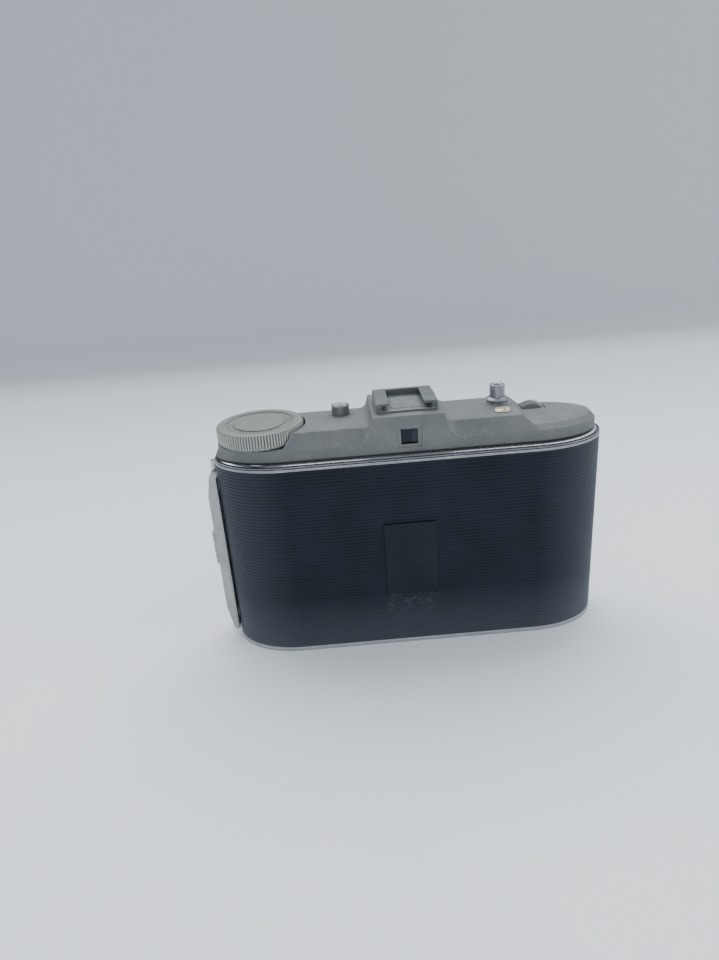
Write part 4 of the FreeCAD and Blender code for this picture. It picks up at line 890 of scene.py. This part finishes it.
def collar_and_screw():
    """The release's flared collar on its washer, and the cross-slotted screw beside it."""
    cad = Span("release_collar")
    hole, deck = Span("release_button").size.x / 2 + 0.05, cad.high.z - 2.5
    outline = [(hole, cad.low.z), (3.4, cad.low.z), (3.4, deck), (5.3, deck), (5.3, deck + 0.3),
               (3.9, deck + 0.3), (3.9, deck + 1.1), (4.4, deck + 1.3), (4.4, deck + 1.7), (3.35, deck + 2.5),
               (hole, deck + 2.5)]
    outline = eased(outline, 0.16, closed=True, steps=3)
    mesh = lathe(outline, 96, cad.mid)
    add("collar", mesh, "camera_body", "chrome", "release_collar")

    head = Span("deck_screw")
    radius, top = head.size.x / 2, head.high.z
    base = top - 1.1
    rings = [2.45 * (1 - i / 16) for i in range(17)]
    outline = [(0, head.low.z), (1.5, head.low.z), (1.5, base), (radius, base), (radius, base + 0.35),
               (radius - 0.3, base + 0.6), (2.75, base + 0.55)]
    outline += [(r, base + 1.1 - 0.22 * (r / 2.45) ** 2) for r in rings]

    def cross(angle, r, z):
        if r <= 2.46 and z > base + 0.7:
            x, y = r * cos(angle - 0.2), r * sin(angle - 0.2)
            slot = min(abs(x), abs(y))
            depth = 0.75 * (1 - r / 2.9)
            return r, z - depth * (1 if slot < 0.28 else max(0.0, 1 - (slot - 0.28) / 0.12))
        return r, z

    mesh = lathe(outline, 144, head.mid, wave=cross, sharp=40)
    add("cross_screw", mesh, "camera_body", "brass", "deck_screw")


def shoe():
    """The accessory shoe: sheet folded up and over into two lips, and closed at the front by a stop."""
    cad = Span("accessory_shoe")
    half, mid = cad.size.x / 2, cad.mid.x
    low, top, wall = cad.low.z, cad.high.z, 2.1
    floor, lip, gap = low + 0.8, top - 0.9, 6.4
    tongue_half, tongue_back = 5.6, 8.6
    inside = half - wall
    outer = [(-gap, top), (-half, top), (-half, low), (half, low), (half, top), (gap, top)]
    outer = eased(outer, 1.1, steps=5)
    inner = [(gap, lip), (inside, lip), (inside, floor), (-inside, floor), (-inside, lip), (-gap, lip)]
    inner = eased(inner, 0.5)
    end = eased(rectangle(-half, half, low, top), 1.1, closed=True, steps=5)
    channel = prism([(mid + x, z) for x, z in outer + inner], cad.low.y + 0.7, cad.high.y)
    stop = prism([(mid + x, z) for x, z in end], cad.low.y, cad.low.y + 1.4)
    tongue = prism(rectangle(mid - tongue_half, mid + tongue_half, floor - 0.3, floor + 0.28),
                   cad.low.y + 1.0, tongue_back)
    body = united(channel, stop, tongue)
    add("shoe", bevelled(body, 0.12, sharp=50), "camera_body", "shoe_metal", "accessory_shoe")


# ---- lens, shutter and bellows

def folds():
    """The bellows: square pleats that taper towards the lens, packed flat while the camera is closed."""
    cad = Span("bellows")
    rear, front = cad.high.y, cad.low.y
    levels = 2 * 9 + 1              # a crest and a valley for each of nine pleats, and the last crest
    corner = 3.2
    flange, flange_corner = 1.7, 1.5        # the rear end flares behind the edge of the film gate
    outer_rear, outer_front, depth = cad.size.x / 2, 24.0, 3.4
    points = []
    for gap in (0.0, 0.25):
        for i in range(levels):
            part = i / (levels - 1)
            half = outer_rear + (outer_front - outer_rear) * part - (depth if i % 2 else 0.0) - gap
            cut = corner * (0.6 if i % 2 else 1.0)
            if i == 0:
                half, cut = half + flange, flange_corner
            corners = [(half, half - cut), (half - cut, half)]
            for _ in range(4):
                points += [(x, rear + (front - rear) * part, LENS_UP + z) for x, z in corners]
                corners = [(-z, x) for x, z in corners]
    faces = []
    for layer in range(2):
        for i in range(levels - 1):
            row = (layer * levels + i) * 8
            faces += [(row + k, row + (k + 1) % 8, row + 8 + (k + 1) % 8, row + 8 + k) for k in range(8)]
    for i in (0, levels - 1):
        row, inside = i * 8, (levels + i) * 8
        faces += [(row + k, row + (k + 1) % 8, inside + (k + 1) % 8, inside + k) for k in range(8)]
    mesh = mesh_from(points, faces, sharp=20)
    piece = add("pleats", mesh, None, "bellows_leather")
    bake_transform(piece)
    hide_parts("bellows")


def front_lens():
    """A knurled focusing ring round a curved front glass, and the rear glass behind the shutter."""
    ring = Span("focus_ring")
    centre = (ring.mid.x, LENS_REAR, ring.mid.z)
    radius = ring.size.x / 2
    outline = [(9.3, 16.6), (13.45, 16.6), (13.45, 18.35), (radius, 18.35), (radius, 22.9),
               (radius - 0.8, 23.7), (12.6, FOCUS_FACE), (10.9, FOCUS_FACE), (10.2, 23.9), (9.3, 23.0)]
    outline = eased(outline, 0.2, closed=True, steps=2)

    def knurl(angle, r, h):
        if r > radius - 0.3 and 18.5 < h < 23.2:
            return r - 0.32 * saw(angle, FOCUS_TEETH), h
        return r, h

    mesh = lathe(outline, FOCUS_TEETH * 6, centre, "front", knurl, sharp=40)
    add("focus_dial", mesh, "focus", "nickel", "focus_ring")
    add("front_glass", lens_glass(centre, 9.28, (19.6, 22.3), (0.6, 1.4)), "focus", "glass",
        "front_lens_glass")
    add("rear_glass", lens_glass(centre, 8.58, (3.4, 5.4), (-0.6, 1.0)), "standard", "glass",
        "rear_lens_glass")


def dial_numbers():
    """Exposure times round the shutter's speed ring, and distances on the face of the focusing ring."""
    ring = Span("speed_ring")
    times = ("B", "1", "2", "5", "10", "25", "50", "100", "250")
    numbers("speed_numbers", times, (ring.mid.x, ring.low.y, ring.mid.z), 17.7, 2.5, (-75, 75), "speed_ring",
            "black_enamel", "white_paint")
    dial = Span("focus_ring")
    distances = ("1", "1.2", "1.5", "2", "3", "5", "10", "20")
    numbers("distance_numbers", distances, (dial.mid.x, LENS_REAR - FOCUS_FACE, dial.mid.z), 11.75, 1.3,
            (-110, 110), "focus", "nickel", "black_paint")


def numbers(name, words, centre, radius, size, sweep, body, slot, finish):
    """Thin raised numbers that stand round a dial, clockwise between two angles as seen from the front."""
    marks = []
    for i, word in enumerate(words):
        turn = radians(sweep[0] + (sweep[1] - sweep[0]) * i / (len(words) - 1))
        text = bpy.data.curves.new(word, "FONT")
        text.body = word
        text.size = size * MM
        text.extrude = 0.03 * MM
        text.resolution_u = 3
        text.align_x, text.align_y = "CENTER", "CENTER"
        holder = placed(word, text)
        bpy.context.view_layer.update()
        mark = bpy.data.meshes.new_from_object(holder.evaluated_get(bpy.context.evaluated_depsgraph_get()))
        bpy.data.objects.remove(holder)
        along = Vector((cos(turn), 0, -sin(turn)))
        outward = Vector((sin(turn), 0, cos(turn)))
        place = (Vector(centre) + outward * radius) * MM
        upright = Matrix((along, outward, Vector((0, -1, 0)))).transposed().to_4x4()
        mark.transform(Matrix.Translation(place) @ upright)
        marks.append(mark)
    add(name, joined(marks), body, slot, finish=finish)


def bush():
    """The threaded bush for a tripod, let into the base."""
    cad = Span("tripod_bush")
    bore, root, flange, pitch = 2.6, 3.15, Span("base_trim").high.z, 1.27
    thread = []
    for turn in range(4):
        level = 0.75 + turn * pitch
        thread += [(bore, level), (root, level + 0.35), (root, level + 0.5), (bore, level + 0.85)]
    outline = [(bore + 0.45, 0.0), (4.85, 0.0), (5.0, 0.15), (5.0, flange), (4.2, flange), (4.2, cad.high.z),
               (bore, cad.high.z), *reversed(thread), (bore, 0.45)]
    add("bush", lathe(outline, 72, cad.mid), "camera_body", "brass", "tripod_bush")


def lens_glass(centre, radius, edges, bulges):
    """A glass whose two faces bulge forward by so much at their middles."""
    rings = [i / 16 for i in range(17)]
    rear = [(radius * t, edges[0] + bulges[0] * (1 - t * t)) for t in rings]
    front = [(radius * t, edges[1] + bulges[1] * (1 - t * t)) for t in reversed(rings)]
    return lathe(rear + front, 96, centre, "front")


dress_cad_nodes()
back_leather()
front_leather()
door_leather()
trims()
slide()
knob()
thumb_wheel()
top_buttons()
collar_and_screw()
shoe()
bush()
folds()
front_lens()
dial_numbers()


# ---- table, light and camera

def table():
    """A pale table that sweeps up into a backdrop behind the camera, the backdrop painted darker as painted
    shade.
    """
    paint = Paint("table_top")
    cloud = paint.grain(160, detail=4)
    colour = paint.mottle(cloud, (0.85, 0.875, 0.895), (0.815, 0.84, 0.865))
    # Painted shade: the sweep is painted darker from the floor up into the backdrop.
    colour = paint.mix(paint.along("Z", 0.0, 20.0), colour, (0.45, 0.47, 0.51))
    material = paint.done(colour, paint.range(cloud, 0.3, 0.7, 0.5, 0.65))
    near, far, bend, wall, half_width = 700, -415, 40, 360, 1500
    line = [(near, 0.0), (far + bend, 0.0)]
    line += [(far + bend - bend * sin(radians(a)), bend - bend * cos(radians(a)))
             for a in range(6, 91, 6)]
    line.append((far, wall))
    points = [(x, y, z) for y, z in line for x in (-half_width, half_width)]
    faces = [(2 * i, 2 * i + 1, 2 * i + 3, 2 * i + 2) for i in range(len(line) - 1)]
    mesh = mesh_from(points, faces, sharp=80)
    mesh.materials.append(material)
    placed("table", mesh)


def softbox(name, where, aim, size, power, colour):
    light = bpy.data.lights.new(name, "AREA")
    light.shape = "RECTANGLE"
    light.size, light.size_y = size
    light.energy = power
    light.color = colour
    lamp = placed(name, light)
    lamp.location = where
    lamp.rotation_mode = "QUATERNION"
    lamp.rotation_quaternion = (Vector(aim) - Vector(where)).to_track_quat("-Z", "Y")


def lights():
    """A soft light over the back of the table, a weak one on the release's side, a low fill, a pale room."""
    softbox("overhead", (0.05, -0.5, 0.95), (0, 0.1, 0), (1.5, 0.8), 13.0, (0.96, 0.98, 1.0))
    softbox("window", (-0.95, 0.2, 0.55), (0, 0, 0.05), (0.7, 0.7), 3.0, (0.95, 0.98, 1.0))
    softbox("fill", (0.1, 1.1, 0.16), (0, 0, 0.06), (1.2, 0.3), 1.6, (0.94, 0.97, 1.0))
    room = Paint("room", bpy.data.worlds.new("room"), "BACKGROUND", Color=(0.86, 0.93, 1.0, 1.0))
    direction = room.node("ShaderNodeTexCoord").outputs["Generated"]
    share = room.vector("DOT_PRODUCT", direction, (0.0, -0.6, 0.8))
    room.feed(room.shader.inputs["Strength"], room.range(share, -0.7, 1.0, 0.62, 1.15))
    bpy.context.scene.world = room.material


def camera():
    """Behind and above the object, turned and rolled a little, with a normal lens."""
    yaw, pitch, roll = (radians(angle) for angle in (1.00, 23.31, -4.40))
    target = Vector((19.75, HALF_DEPTH, 73.0)) * MM
    distance = 258.8 * MM
    level = Vector((-sin(yaw), -cos(yaw), 0.0))
    right = Vector((-cos(yaw), sin(yaw), 0.0))
    ahead = level * cos(pitch) - Vector((0, 0, sin(pitch)))
    above = level * sin(pitch) + Vector((0, 0, cos(pitch)))
    side = right * cos(roll) + above * sin(roll)
    top = above * cos(roll) - right * sin(roll)
    data = bpy.data.cameras.new("view")
    data.lens = 26.6
    data.clip_start = 0.01
    view = placed("view", data)
    turn = Matrix((side, top, -ahead)).transposed()
    view.matrix_world = Matrix.Translation(target - ahead * distance) @ turn.to_4x4()
    bpy.context.scene.camera = view


table()
lights()
camera()
